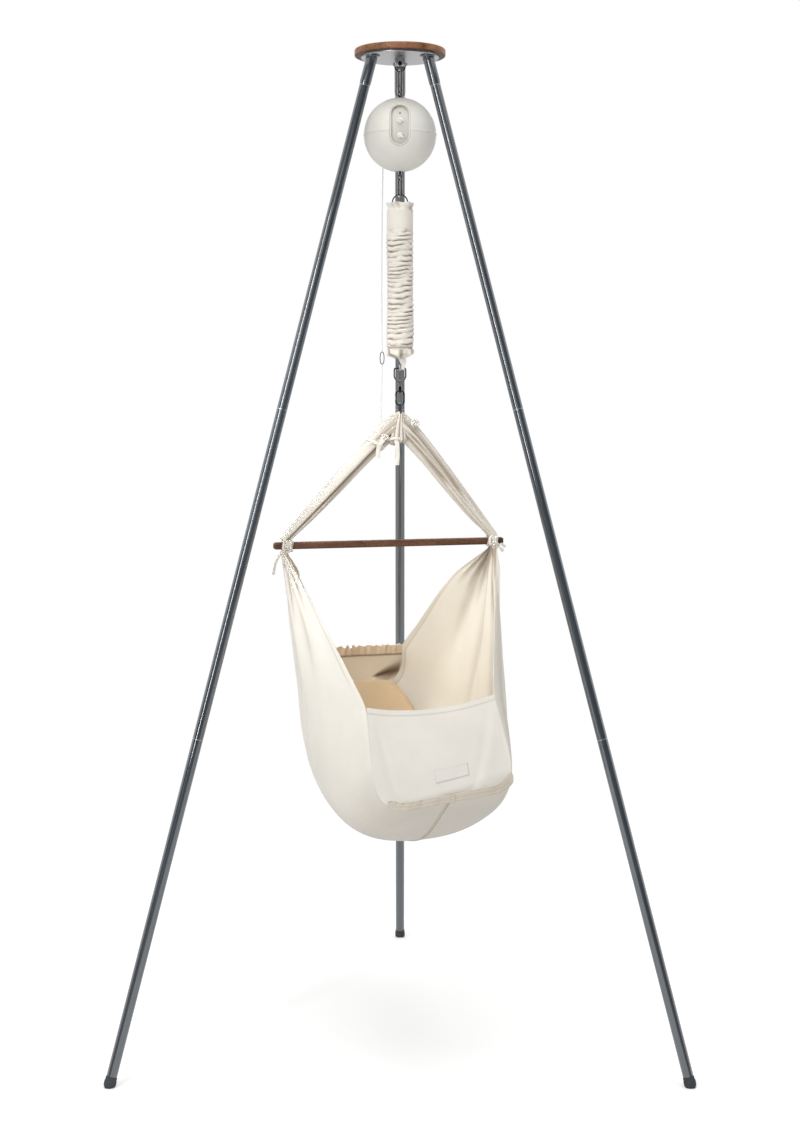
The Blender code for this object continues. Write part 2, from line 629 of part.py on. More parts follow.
def make_ball():
    """Make the ball's shells, the control panel in its front and what carries them."""
    inner = BALL_RADIUS - BALL_WALL
    frame = upright_frame(BALL_Z)

    def half_shell(name, hole, sign):
        hole_angle = math.asin(hole / BALL_RADIUS)
        inner_hole_angle = math.asin(hole / inner)
        steps = 7
        inner_steps = 4
        profile = [(BALL_RADIUS, sign * GAP / 2.0)]
        profile.append((BALL_RADIUS + SEAM_BEAD, sign * (GAP / 2.0 + 0.0004)))
        profile.append((BALL_RADIUS, sign * SEAM_BEAD_HEIGHT))
        for k in range(1, steps + 1):
            angle = (math.pi / 2.0 - hole_angle) * k / steps
            profile.append((BALL_RADIUS * math.cos(angle), sign * BALL_RADIUS * math.sin(angle)))
        for k in range(inner_steps, 0, -1):
            angle = (math.pi / 2.0 - inner_hole_angle) * k / inner_steps
            profile.append((inner * math.cos(angle), sign * inner * math.sin(angle)))
        profile.append((inner, sign * GAP / 2.0))
        return turned(name, profile, 26, SHELL_WHITE, frame)

    upper = half_shell("upper_shell", EYE_STEM_RADIUS + GAP, 1.0)
    lower = half_shell("lower_shell", LOWER_HOLE_RADIUS, -1.0)

    def stadium(inset):
        half = PANEL_HALF_WIDTH - inset
        straight = PANEL_HALF_LENGTH - PANEL_HALF_WIDTH
        outline = []
        for k in range(13):
            angle = math.pi * k / 12
            outline.append((half * math.cos(angle), straight + half * math.sin(angle)))
        for k in range(13):
            angle = math.pi + math.pi * k / 12
            outline.append((half * math.cos(angle), -straight + half * math.sin(angle)))
        return outline

    front = Matrix.Rotation(math.radians(90.0), 4, "X")
    start = Matrix.Translation((0.0, PANEL_RISE, 0.030))
    opening = cutter(prism("panel_opening", stadium(0.0), 0.060, SHELL_WHITE, frame @ front @ start))
    apply_boolean(upper, opening, "DIFFERENCE")
    apply_boolean(lower, opening, "DIFFERENCE")

    def ball_solid(name, radius):
        steps = 14
        profile = []
        for k in range(steps + 1):
            angle = math.pi * k / steps - math.pi / 2.0
            profile.append((max(radius * math.cos(angle), 0.0), radius * math.sin(angle)))
        profile[0] = (0.0, -radius)
        profile[-1] = (0.0, radius)
        return cutter(turned(name, profile, 32, SHELL_WHITE, frame, closed=False))

    floor_radius = BALL_RADIUS - PANEL_RECESS
    rim_ball = ball_solid("panel_rim_ball", BALL_RADIUS + PANEL_RIM_PROUD)
    floor_ball = ball_solid("panel_floor_ball", floor_radius)
    back_ball = ball_solid("panel_back_ball", floor_radius - PANEL_FLOOR)
    recess = cutter(prism("panel_recess", stadium(GAP + PANEL_RIM), 0.060, SHELL_WHITE,
                          frame @ front @ start))
    apply_boolean(recess, floor_ball, "DIFFERENCE")
    panel = prism("control_panel", stadium(GAP), 0.059, SHELL_WHITE, frame @ front @ start)
    apply_boolean(panel, rim_ball, "INTERSECT")
    apply_boolean(panel, recess, "DIFFERENCE")
    apply_boolean(panel, back_ball, "DIFFERENCE")

    def facing(elevation, radius, heading=-90.0):
        turn = Matrix.Rotation(math.radians(heading), 4, "Z")
        tilt = Matrix.Rotation(math.radians(90.0 - elevation), 4, "Y")
        return frame @ turn @ tilt @ Matrix.Translation((0.0, 0.0, radius))

    for name, elevation in KNOB_ELEVATIONS.items():
        base = facing(elevation, floor_radius + 2.0 * GAP)
        shaft_hole = cutter(turned(name + "_hole", [(0.0, -0.012), (KNOB_SHAFT_RADIUS + GAP, -0.012),
                                                    (KNOB_SHAFT_RADIUS + GAP, 0.006), (0.0, 0.006)],
                                   12, SHELL_WHITE, base, closed=False))
        apply_boolean(panel, shaft_hole, "DIFFERENCE")
        knob = turned(name, [(0.0, -KNOB_SHAFT_LENGTH), (KNOB_SHAFT_RADIUS, -KNOB_SHAFT_LENGTH),
                             (KNOB_SHAFT_RADIUS, 0.0), (KNOB_RADIUS, 0.0),
                             (KNOB_RADIUS * 0.92, KNOB_HEIGHT * 0.8),
                             (KNOB_RADIUS * 0.78, KNOB_HEIGHT), (0.0, KNOB_HEIGHT)],
                      16, SHELL_WHITE, base, closed=False)
        pointer = cutter(box(name + "_pointer", (-0.0011, 0.0008, KNOB_HEIGHT * 0.5),
                             (0.0011, KNOB_RADIUS + 0.0004, KNOB_HEIGHT + 0.0012), SHELL_WHITE, base))
        apply_boolean(knob, pointer, "UNION")

    lens_base = facing(LENS_ELEVATION, floor_radius)
    lens_hole = cutter(turned("lens_hole", [(0.0, -0.012), (LENS_RADIUS + GAP, -0.012),
                                            (LENS_RADIUS + GAP, 0.006), (0.0, 0.006)],
                              12, BLACK, lens_base, closed=False))
    apply_boolean(panel, lens_hole, "DIFFERENCE")
    turned("status_lens", [(0.0, -PANEL_FLOOR), (LENS_RADIUS, -PANEL_FLOOR), (LENS_RADIUS, 0.0002),
                           (LENS_RADIUS * 0.6, 0.0006), (0.0, 0.0007)],
           12, BLACK, lens_base, closed=False)

    inlet_base = facing(INLET_ELEVATION, BALL_RADIUS + GAP, heading=90.0)
    inlet_hole = cutter(turned("inlet_hole", [(0.0, -0.012), (INLET_RADIUS + GAP, -0.012),
                                              (INLET_RADIUS + GAP, 0.012), (0.0, 0.012)],
                               16, BLACK, inlet_base, closed=False))
    apply_boolean(lower, inlet_hole, "DIFFERENCE")
    turned("power_socket",
           [(0.0, -INLET_LENGTH), (INLET_RADIUS, -INLET_LENGTH), (INLET_RADIUS, 0.0005),
            (INLET_FLANGE_RADIUS, 0.0005), (INLET_FLANGE_RADIUS, INLET_FLANGE_HEIGHT),
            (INLET_BORE, INLET_FLANGE_HEIGHT), (INLET_BORE, -INLET_LENGTH + 0.002),
            (0.0, -INLET_LENGTH + 0.002)],
           16, BLACK, inlet_base, closed=False)


def make_drive():
    """Make the ball's eyelet, the chassis, the gear motor, its drum, the strap and the lift rod."""
    frame = upright_frame(BALL_Z)
    flange_top = CHASSIS_HALF_HEIGHT
    outline = [(-CHASSIS_FRONT, flange_top - CHASSIS_SHEET), (CHASSIS_BACK, flange_top - CHASSIS_SHEET),
               (CHASSIS_BACK, -flange_top + CHASSIS_SHEET), (-CHASSIS_FRONT, -flange_top + CHASSIS_SHEET),
               (-CHASSIS_FRONT, -flange_top), (CHASSIS_BACK + CHASSIS_SHEET, -flange_top),
               (CHASSIS_BACK + CHASSIS_SHEET, flange_top), (-CHASSIS_FRONT, flange_top)]
    side_view = Matrix.Rotation(math.radians(90.0), 4, "Z") @ Matrix.Rotation(math.radians(90.0), 4, "X")
    chassis = prism("chassis", outline, 2.0 * CHASSIS_HALF_WIDTH, STEEL,
                    frame @ side_view @ Matrix.Translation((0.0, 0.0, -CHASSIS_HALF_WIDTH)))
    stem_hole = cutter(turned("stem_hole", [(0.0, 0.0), (EYE_STEM_RADIUS + GAP, 0.0),
                                            (EYE_STEM_RADIUS + GAP, 0.06), (0.0, 0.06)],
                              16, STEEL, frame, closed=False))
    rod_hole = cutter(turned("rod_hole", [(0.0, -0.06), (ROD_RADIUS + GAP, -0.06),
                                          (ROD_RADIUS + GAP, 0.0), (0.0, 0.0)],
                             16, STEEL, frame, closed=False))
    apply_boolean(chassis, stem_hole, "DIFFERENCE")
    apply_boolean(chassis, rod_hole, "DIFFERENCE")

    under_flange = BALL_Z + flange_top - CHASSIS_SHEET - GAP
    collar_low = BALL_TOP_Z + GAP
    eye_low = BALL_EYE_Z - EYE_RADIUS
    eye_with_stem("ball_eyelet", BALL_EYE_Z, LINK_YAW,
                  [(0.0, under_flange - 0.004), (0.0045, under_flange - 0.004), (0.0045, under_flange),
                   (EYE_STEM_RADIUS, under_flange), (EYE_STEM_RADIUS, collar_low),
                   (EYE_COLLAR_RADIUS, collar_low),
                   (EYE_COLLAR_RADIUS, collar_low + EYE_COLLAR_HEIGHT * 0.5),
                   (EYE_STEM_RADIUS, collar_low + EYE_COLLAR_HEIGHT), (EYE_STEM_RADIUS * 0.6, eye_low),
                   (0.0, eye_low)], CHROME)

    drum_x = -(DRUM_RADIUS + GAP + STRAP_THICKNESS / 2.0)
    along_y = Matrix.Rotation(math.radians(-90.0), 4, "X")
    drum_frame = frame @ Matrix.Translation((drum_x, 0.0, DRUM_RISE)) @ along_y
    motor_front = DRUM_HALF_WIDTH + 0.0010
    turned("gear_motor", [(0.0, -DRUM_HALF_WIDTH), (MOTOR_SHAFT_RADIUS, -DRUM_HALF_WIDTH),
                          (MOTOR_SHAFT_RADIUS, motor_front), (MOTOR_RADIUS, motor_front),
                          (MOTOR_RADIUS, CHASSIS_BACK - GAP), (0.0, CHASSIS_BACK - GAP)],
           20, DARK_STEEL, drum_frame, closed=False)
    bore = MOTOR_SHAFT_RADIUS + GAP
    turned("drive_drum", [(bore, -DRUM_HALF_WIDTH), (DRUM_RADIUS, -DRUM_HALF_WIDTH),
                          (DRUM_RADIUS, DRUM_HALF_WIDTH), (bore, DRUM_HALF_WIDTH)],
           24, STEEL, drum_frame)
    rod_top = -ROD_TOP_DROP
    half = STRAP_THICKNESS / 2.0
    box("drive_strap", (-half, -STRAP_WIDTH / 2.0, rod_top + GAP), (half, STRAP_WIDTH / 2.0, DRUM_RISE),
        BLACK, frame)
    eye_top = LOWER_EYE_Z + EYE_RADIUS
    eye_with_stem("lift_rod", LOWER_EYE_Z, LINK_YAW,
                  [(0.0, eye_top), (ROD_RADIUS * 0.6, eye_top), (ROD_RADIUS, eye_top + 0.002),
                   (ROD_RADIUS, BALL_Z + rod_top), (0.0, BALL_Z + rod_top)], CHROME)
    width, thick, height = BOARD_SIZE
    back = CHASSIS_BACK + CHASSIS_SHEET + GAP
    box("control_board", (-width / 2.0, back, -height / 2.0), (width / 2.0, back + thick, height / 2.0),
        CIRCUIT_GREEN, frame)


def make_links():
    """Make the rings and the hooks of the chain."""
    points = circle_points((0, 0, 0), (1, 0, 0), (0, 0, 1), RING_RADIUS, 20)
    wire("top_ring", points, RING_WIRE, CHROME, cyclic=True, matrix=upright_frame(RING_Z))
    yaw = LINK_YAW + 90.0
    carabiner("top_carabiner", "top_gate", TOP_CARABINER_Z, TOP_CARABINER_LENGTH, CARABINER_BEND,
              yaw, 1.0, CHROME)
    carabiner("lower_carabiner", "lower_gate", LOWER_CARABINER_Z, LOWER_CARABINER_LENGTH,
              CARABINER_BEND, yaw, 1.0, CHROME)
    points = circle_points((0, 0, 0), (1, 0, 0), (0, 0, 1), SPLIT_RING_RADIUS, 24)
    wire("split_ring", points, SPLIT_RING_WIRE, CHROME, cyclic=True, matrix=upright_frame(SPLIT_RING_Z))


def make_spring():
    """Make the extension spring with a hook at each end, and print its least gap to itself."""
    lead = SPRING_LEAD
    hook_top = SPRING_TOP_Z - SPRING_HOOK_RADIUS
    hook_low = SPRING_BOTTOM_Z + SPRING_HOOK_RADIUS
    coil_top = hook_top - lead
    coil_low = hook_low + lead
    count = SPRING_TURNS * SPRING_POINTS_PER_TURN
    turn = 2.0 * math.pi / SPRING_POINTS_PER_TURN
    # A hook is three quarters of a circle in the YZ plane, open at its side, then a straight run
    upper_hook = circle_points((0.0, 0.0, hook_top), (0, 1, 0), (0, 0, 1),
                               SPRING_HOOK_RADIUS, 9, 10.0, 260.0)
    lower_hook = circle_points((0.0, 0.0, hook_low), (0, 1, 0), (0, 0, -1),
                               SPRING_HOOK_RADIUS, 9, 270.0, -260.0)
    coil = []
    for k in range(count + 1):
        share = k / count
        angle = turn * k
        ends = min(1.0, min(k, count - k) / (0.75 * SPRING_POINTS_PER_TURN))
        radius = SPRING_RADIUS * ends
        height = coil_top + (coil_low - coil_top) * share
        coil.append(Vector((radius * math.cos(angle), radius * math.sin(angle), height)))
    points = upper_hook + coil + lower_hook
    points = [p + Vector((0.0, AXIS_Y, 0.0)) for p in points]
    least = least_gap(coil, SPRING_WIRE, SPRING_POINTS_PER_TURN)
    print("least gap of the spring to itself, mm:", round(1000.0 * least, 2))
    wire("spring", points, SPRING_WIRE, STEEL)


def least_gap(points, radius, near):
    """Return the least gap between a wire's own turns, leaving out points near along the wire."""
    line = np.array([tuple(p) for p in points])
    least = 1.0
    for k in range(len(line) - near // 2 - 1):
        rest = line[k + near // 2 + 1:]
        distance = np.linalg.norm(rest - line[k], axis=1).min()
        least = min(least, distance)
    return least - 2.0 * radius


def make_cover():
    """Make the gathered cloth sleeve round the spring and the cloth loop that holds the D-ring."""
    low = COVER_BOTTOM_Z
    neck = low + COVER_NECK_RISE
    neck_top = neck + COVER_SHOULDER
    smooth_low = COVER_TOP_Z - COVER_SMOOTH
    pitch = (smooth_low - neck_top) / COVER_GATHERS
    outer = [(COVER_HEM_RADIUS * 0.92, low), (COVER_HEM_RADIUS, low + 0.3 * COVER_NECK_RISE),
             (COVER_NECK_RADIUS, neck - 0.2 * COVER_NECK_RISE), (COVER_NECK_RADIUS, neck),
             (COVER_RADIUS, neck_top)]
    for k in range(COVER_GATHERS):
        base = neck_top + k * pitch
        outer.append((COVER_RADIUS + COVER_GATHER_DEPTH, base + 0.5 * pitch))
        outer.append((COVER_RADIUS - COVER_GATHER_DEPTH * 0.3, base + pitch))
    outer.append((COVER_RADIUS, COVER_TOP_Z - 0.002))
    outer.append((COVER_RADIUS - COVER_WALL * 0.5, COVER_TOP_Z))
    inner_radius = COVER_RADIUS - COVER_WALL - COVER_GATHER_DEPTH * 0.3
    seat = SPRING_WIRE + GAP
    inner = [(inner_radius, COVER_TOP_Z), (inner_radius, neck_top + COVER_WALL),
             (seat + 0.0006, neck + COVER_WALL), (seat, neck), (seat, low + 0.002), (seat + 0.001, low)]
    turned("spring_cover", outer + inner, 14, COTTON, upright_frame(0.0))


def make_lower_links():
    """Make the D-ring, the swivel eye, the snap hook and the link through the apex of the hammock."""
    half = D_RING_HALF_WIDTH
    corner = D_RING_CORNER
    bottom = -D_RING_HEIGHT
    points = circle_points((half - corner, 0, -corner), (1, 0, 0), (0, 0, 1), corner, 4, 0.0, 90.0)
    points += circle_points((corner - half, 0, -corner), (1, 0, 0), (0, 0, 1), corner, 4, 90.0, 90.0)
    points += [Vector((-half, 0, bottom * 0.55)), Vector((-half * 0.86, 0, bottom * 0.72)),
               Vector((-half * 0.52, 0, bottom * 0.90)), Vector((-half * 0.22, 0, bottom * 0.98)),
               Vector((0, 0, bottom)), Vector((half * 0.22, 0, bottom * 0.98)),
               Vector((half * 0.52, 0, bottom * 0.90)), Vector((half * 0.86, 0, bottom * 0.72)),
               Vector((half, 0, bottom * 0.55))]
    wire("d_ring", points, D_RING_WIRE, CHROME, cyclic=True, matrix=upright_frame(D_RING_TOP_Z))

    head_top = SNAP_HOOK_Z - CARABINER_WIRE - SWIVEL_HEAD_DROP
    collar_low = head_top + GAP
    eye_low = SWIVEL_EYE_Z - EYE_RADIUS
    eye_with_stem("swivel_eye", SWIVEL_EYE_Z, 90.0,
                  [(0.0, head_top - SWIVEL_HEAD_HEIGHT), (SWIVEL_HEAD_RADIUS, head_top - SWIVEL_HEAD_HEIGHT),
                   (SWIVEL_HEAD_RADIUS, head_top), (SWIVEL_STEM_RADIUS, head_top),
                   (SWIVEL_STEM_RADIUS, eye_low), (0.0, eye_low)], DARK_STEEL)
    body, _ = carabiner("snap_hook_wire", "snap_gate", SNAP_HOOK_Z, SNAP_HOOK_LENGTH, SNAP_HOOK_BEND,
                        0.0, -1.0, DARK_STEEL)
    collar = cutter(turned("snap_hook_collar",
                           [(0.0, collar_low), (SWIVEL_COLLAR_RADIUS, collar_low),
                            (SWIVEL_COLLAR_RADIUS, SWIVEL_COLLAR_Z), (0.0, SWIVEL_COLLAR_Z)],
                           16, DARK_STEEL, upright_frame(0.0), closed=False))
    hole = cutter(turned("snap_hook_bore", [(0.0, head_top - 0.004),
                                            (SWIVEL_STEM_RADIUS + GAP, head_top - 0.004),
                                            (SWIVEL_STEM_RADIUS + GAP, SWIVEL_COLLAR_Z + 0.004),
                                            (0.0, SWIVEL_COLLAR_Z + 0.004)],
                         16, DARK_STEEL, upright_frame(0.0), closed=False))
    hook = join_wire(body, collar)
    hook.name = "snap_hook"
    apply_boolean(hook, hole, "DIFFERENCE")

    bend = APEX_LINK_BEND
    up = Vector((0.0, 0.0, 1.0))
    side = Vector((1.0, 0.0, 0.0))
    points = circle_points(up * -bend, side, up, bend, 9, 0.0, 180.0)
    points += circle_points(up * (-APEX_LINK_LENGTH + bend), -side, -up, bend, 9, 0.0, 180.0)
    wire("apex_link", points, APEX_LINK_WIRE, DARK_STEEL, cyclic=True,
         matrix=upright_frame(APEX_LINK_TOP_Z, 90.0 + HAMMOCK_YAW))


def twist_share(w):
    """Return how much of the foot end's twist applies at a place along the basket."""
    reach = (FOOT_TWIST_START - w) / (FOOT_TWIST_START - KEEL_PLACES[0])
    return min(max(reach, 0.0), 1.2) ** 1.5


def hammock_point(u, w, z):
    """Place a point given along the bar (u), towards the head end (w) and up (z)."""
    fade = min(1.0, max(0.0, (FOOT_TWIST_TOP - z) / FOOT_TWIST_FADE))
    z = z + FOOT_TWIST * (u / HALF_WIDTHS[0]) * twist_share(w) * fade
    yaw = math.radians(HAMMOCK_YAW)
    x = HAMMOCK_X + u * math.cos(yaw) - w * math.sin(yaw)
    y = AXIS_Y + u * math.sin(yaw) + w * math.cos(yaw)
    return Vector((x, y, z))


def along_basket(values, q):
    """Pass a smooth curve through five stations, at q from -1 (foot) to 1 (head)."""
    place = (q + 1.0) * 0.5 * (len(values) - 1)
    index = min(int(place), len(values) - 2)
    t = place - index
    start, end = values[index], values[index + 1]
    before = values[index - 1] if index > 0 else 2.0 * start - end
    after = values[index + 2] if index + 2 < len(values) else 2.0 * end - start
    bend = 2.0 * before - 5.0 * start + 4.0 * end - after
    turn = -before + 3.0 * start - 3.0 * end + after
    return start + 0.5 * t * (end - before + t * (bend + t * turn))


def basket_section(q):
    """Return the basket's section at q from -1 (foot) to 1 (head).

    The section is a straight drop from the bar to a shoulder, then a superellipse down to the keel.
    """
    stations = (HALF_WIDTHS, SHOULDER_HEIGHTS, KEEL_HEIGHTS, SHOULDER_PLACES, KEEL_PLACES, ROUNDNESS)
    return tuple(along_basket(values, q) for values in stations)


def foot_flare(q):
    """Return how much wider the section is near its keel than at its shoulder."""
    return FOOT_FLARE * max(0.0, -q) ** 3


def basket_curve(q, angle):
    """Return (u, w, z) on a section's superellipse, from 0 degrees at the shoulder to 90 at the keel."""
    half_width, shoulder_z, keel_z, shoulder_w, keel_w, roundness = basket_section(q)
    across = max(math.cos(math.radians(angle)), 0.0) ** (2.0 / roundness)
    down = math.sin(math.radians(angle)) ** (2.0 / roundness)
    u = half_width * across * (1.0 + foot_flare(q) * down)
    z = shoulder_z + (keel_z - shoulder_z) * down
    w = shoulder_w + (keel_w - shoulder_w) * down
    return u, w, z


def basket_floor(q, u):
    """Return (w, z) of the basket's inner surface at a distance u from its keel."""
    half_width, shoulder_z, keel_z, shoulder_w, keel_w, roundness = basket_section(q)
    share = min(u / half_width, 0.995) ** roundness
    down = (1.0 - share) ** (1.0 / roundness)
    return shoulder_w + (keel_w - shoulder_w) * down, shoulder_z + (keel_z - shoulder_z) * down


def tie_place():
    """Return the bar's tie place, from the bar's middle."""
    return BAR_HALF_LENGTH - TIE_FROM_END


def make_sling(side_name, side):
    """Make one half of the sling, from its tie under the bar down to the keel seam."""
    columns = 23
    upper_rows = 5
    lower_rows = 9
    tie_z = BAR_Z - TIE_RADIUS - TIE_WIRE - 2.0 * GAP
    points = []
    for i in range(columns):
        q = -1.0 + 2.0 * i / (columns - 1)
        tie_u = tie_place()
        tie_w = TIE_HALF_SPREAD * q
        shoulder = basket_curve(q, 0.0)
        column = []
        for j in range(upper_rows):
            t = j / upper_rows
            u = tie_u + (shoulder[0] - tie_u) * t
            w = tie_w + (shoulder[1] - tie_w) * t
            z = tie_z + (shoulder[2] - tie_z) * t
            fold = SLING_FOLD_DEPTH * math.sin(math.pi * t) * (1.0 - q * q)
            u += fold * math.sin(SLING_FOLDS * math.pi * q + 0.6)
            column.append(hammock_point(side * u, w, z))
        for j in range(lower_rows):
            angle = 90.0 * j / (lower_rows - 1)
            u, w, z = basket_curve(q, angle)
            column.append(hammock_point(side * max(u, SEAM_GAP / 2.0), w, z))
        points.append(column)
    return sheet("sling_" + side_name, points, CLOTH, COTTON, outward=-side)


def make_end_panel(name, end):
    """Make the foot panel (end = -1) or the head panel (end = 1) across the sling's edge."""
    half_width, top_z, keel_z, top_w, keel_w, roundness = basket_section(float(end))
    columns = 11
    levels = [0.0, 0.2, 0.4, 0.6, 0.8]
    height = top_z - keel_z
    standoff = end * (GAP + 0.0006)
    points = []

    def panel_point(u, down, a):
        w = top_w + (keel_w - top_w) * down + standoff
        w += end * PANEL_BULGE * (1.0 - a * a) * math.sin(math.pi * down)
        sag = PANEL_SAG * (1.0 - a * a) * (1.0 - down)
        return hammock_point(u, w, top_z - height * down - sag)

    for i in range(columns):
        a = -1.0 + 2.0 * i / (columns - 1)
        column = []
        for down in levels:
            reach = half_width * (1.0 - down ** roundness) ** (1.0 / roundness)
            reach *= 1.0 + foot_flare(end) * down
            column.append(panel_point(a * reach, down, a))
        share = 0.97 * a * (1.0 - levels[-1] ** roundness) ** (1.0 / roundness)
        seam_down = (1.0 - abs(share) ** roundness) ** (1.0 / roundness)
        flare = 1.0 + foot_flare(end) * seam_down
        column.append(panel_point(share * half_width * flare, seam_down, a))
        points.append(column)
    return sheet(name, points, CLOTH, COTTON, outward=float(end))


def make_band():
    """Make the cotton band that runs from one end of the bar through the apex link to the other.

    It is a tube round a bent line, thin in the link, with lengthwise folds where it swells.
    """
    apex = on_axis(APEX_Z + APEX_LINK_WIRE + GAP + BAND_NECK_HALF_HEIGHT)
    end_z = BAR_Z + TIE_RADIUS + TIE_WIRE + GAP + 0.75 * BAND_END_HALF
    half_rings = 11
    sides = 18
    yaw = math.radians(HAMMOCK_YAW)
    deep = Vector((-math.sin(yaw), math.cos(yaw), 0.0))
    centres = []
    swells = []
    shares = [(abs(i) / half_rings) ** 1.6 for i in range(-half_rings, half_rings + 1)]
    for i, p in zip(range(-half_rings, half_rings + 1), shares):
        end = hammock_point(math.copysign(tie_place(), i), 0.0, end_z)
        drop = math.sqrt(p * p + BAND_BEND ** 2) - BAND_BEND
        drop /= math.sqrt(1.0 + BAND_BEND ** 2) - BAND_BEND
        centres.append(Vector((apex.x + (end.x - apex.x) * p, apex.y + (end.y - apex.y) * p,
                               apex.z + (end.z - apex.z) * drop)))
        swells.append(math.sin(math.pi * p))
    vertices = []
    count = len(centres)
    for i in range(count):
        along = (centres[min(i + 1, count - 1)] - centres[max(i - 1, 0)]).normalized()
        across = (deep - along * deep.dot(along)).normalized()
        wide = across.cross(along)
        p = shares[i]
        swell = swells[i]
        half_width = BAND_NECK_HALF_HEIGHT * (1.0 - p) + BAND_END_HALF * p
        end_width = half_width
        half_width += (BAND_HALF_WIDTH - half_width) * swell ** (0.6 + 1.1 * max(0.0, 1.0 - p / 0.15))
        half_depth = BAND_NECK_HALF_DEPTH * (1.0 - p) + BAND_END_HALF * p
        half_depth += (BAND_HALF_DEPTH - half_depth) * swell
        downward = wide if wide.z < 0.0 else -wide
        centre = centres[i] + downward * (half_width - end_width) * BAND_SAG_SHARE
        for k in range(sides):
            angle = 2.0 * math.pi * k / sides
            fold = 1.0 + BAND_FOLD_DEPTH * math.cos(BAND_FOLDS * angle + 0.5) * swell
            vertices.append(centre + wide * half_width * fold * math.cos(angle)
                            + across * half_depth * fold * math.sin(angle))
    faces = [tuple(range(sides)), tuple(range((count - 1) * sides, count * sides))]
    for i in range(count - 1):
        for k in range(sides):
            m = (k + 1) % sides
            faces.append((i * sides + k, i * sides + m, (i + 1) * sides + m, (i + 1) * sides + k))
    return mesh_object("hanging_band", vertices, faces, COTTON)


def make_bar():
    """Make the spreader bar with rounded corners and ends, and the tie band at each end."""
    outline = []
    for cx, cy, start in ((1, 1, 0), (-1, 1, 90), (-1, -1, 180), (1, -1, 270)):
        for k in range(4):
            angle = math.radians(start + 30.0 * k)
            inset = BAR_HALF_SIDE - BAR_CORNER
            outline.append((cx * inset + BAR_CORNER * math.cos(angle),
                            cy * inset + BAR_CORNER * math.sin(angle)))
    rounding = 0.006
    stations = [(-BAR_HALF_LENGTH, 0.45), (-BAR_HALF_LENGTH + 0.3 * rounding, 0.80),
                (-BAR_HALF_LENGTH + rounding, 1.0), (BAR_HALF_LENGTH - rounding, 1.0),
                (BAR_HALF_LENGTH - 0.3 * rounding, 0.80), (BAR_HALF_LENGTH, 0.45)]
    count = len(outline)
    vertices = []
    for u, share in stations:
        for w, z in outline:
            vertices.append(hammock_point(u, w * share, BAR_Z + z * share))
    faces = [tuple(range(count)), tuple(range((len(stations) - 1) * count, len(stations) * count))]
    for i in range(len(stations) - 1):
        for k in range(count):
            m = (k + 1) % count
            faces.append((i * count + k, i * count + m, (i + 1) * count + m, (i + 1) * count + k))
    mesh_object("spreader_bar", vertices, faces, WALNUT)

    along_bar = (Matrix.Rotation(math.radians(HAMMOCK_YAW), 4, "Z")
                 @ Matrix.Rotation(math.radians(90.0), 4, "Y"))
    for side_name, side in (("left", -1.0), ("right", 1.0)):
        place = Matrix.Translation(hammock_point(side * tie_place(), 0.0, BAR_Z)) @ along_bar
        half = TIE_BAND_HALF_WIDTH
        turned("tie_" + side_name, [(TIE_RADIUS - TIE_WIRE, -half), (TIE_RADIUS + TIE_WIRE, -half),
                                    (TIE_RADIUS + TIE_WIRE, half), (TIE_RADIUS - TIE_WIRE, half)],
               16, COTTON, place)


def make_mattress():
    """Make the mattress, which follows the basket's keel line and rests on its sloping sides."""
    rows = 13
    ring = 20
    vertices = []
    for i in range(rows):
        q = -0.90 + 1.80 * i / (rows - 1)
        edge = abs(2.0 * i / (rows - 1) - 1.0)
        end_round = math.sqrt(max(1.0 - edge ** 6, 0.0))
        half_width = along_basket(MATTRESS_HALF_WIDTHS, q) * (0.72 + 0.28 * end_round)
        w, z = basket_floor(q, half_width)
        floor = z + MATTRESS_SEAT
        half_height = MATTRESS_THICKNESS / 2.0 * (0.55 + 0.45 * end_round)
        for k in range(ring):
            angle = 2.0 * math.pi * k / ring
            across = math.copysign(abs(math.cos(angle)) ** 0.45, math.cos(angle))
            up = math.copysign(abs(math.sin(angle)) ** 0.45, math.sin(angle))
            crown = MATTRESS_CROWN * (1.0 - across * across) if up > 0.0 else 0.0
            vertices.append(hammock_point(half_width * across, w, floor + half_height * (1.0 + up) + crown))
    faces = [tuple(range(ring)), tuple(range((rows - 1) * ring, rows * ring))]
    for i in range(rows - 1):
        for k in range(ring):
            m = (k + 1) % ring
            faces.append((i * ring + k, i * ring + m, (i + 1) * ring + m, (i + 1) * ring + k))
    return mesh_object("mattress", vertices, faces, MATTRESS_COTTON)


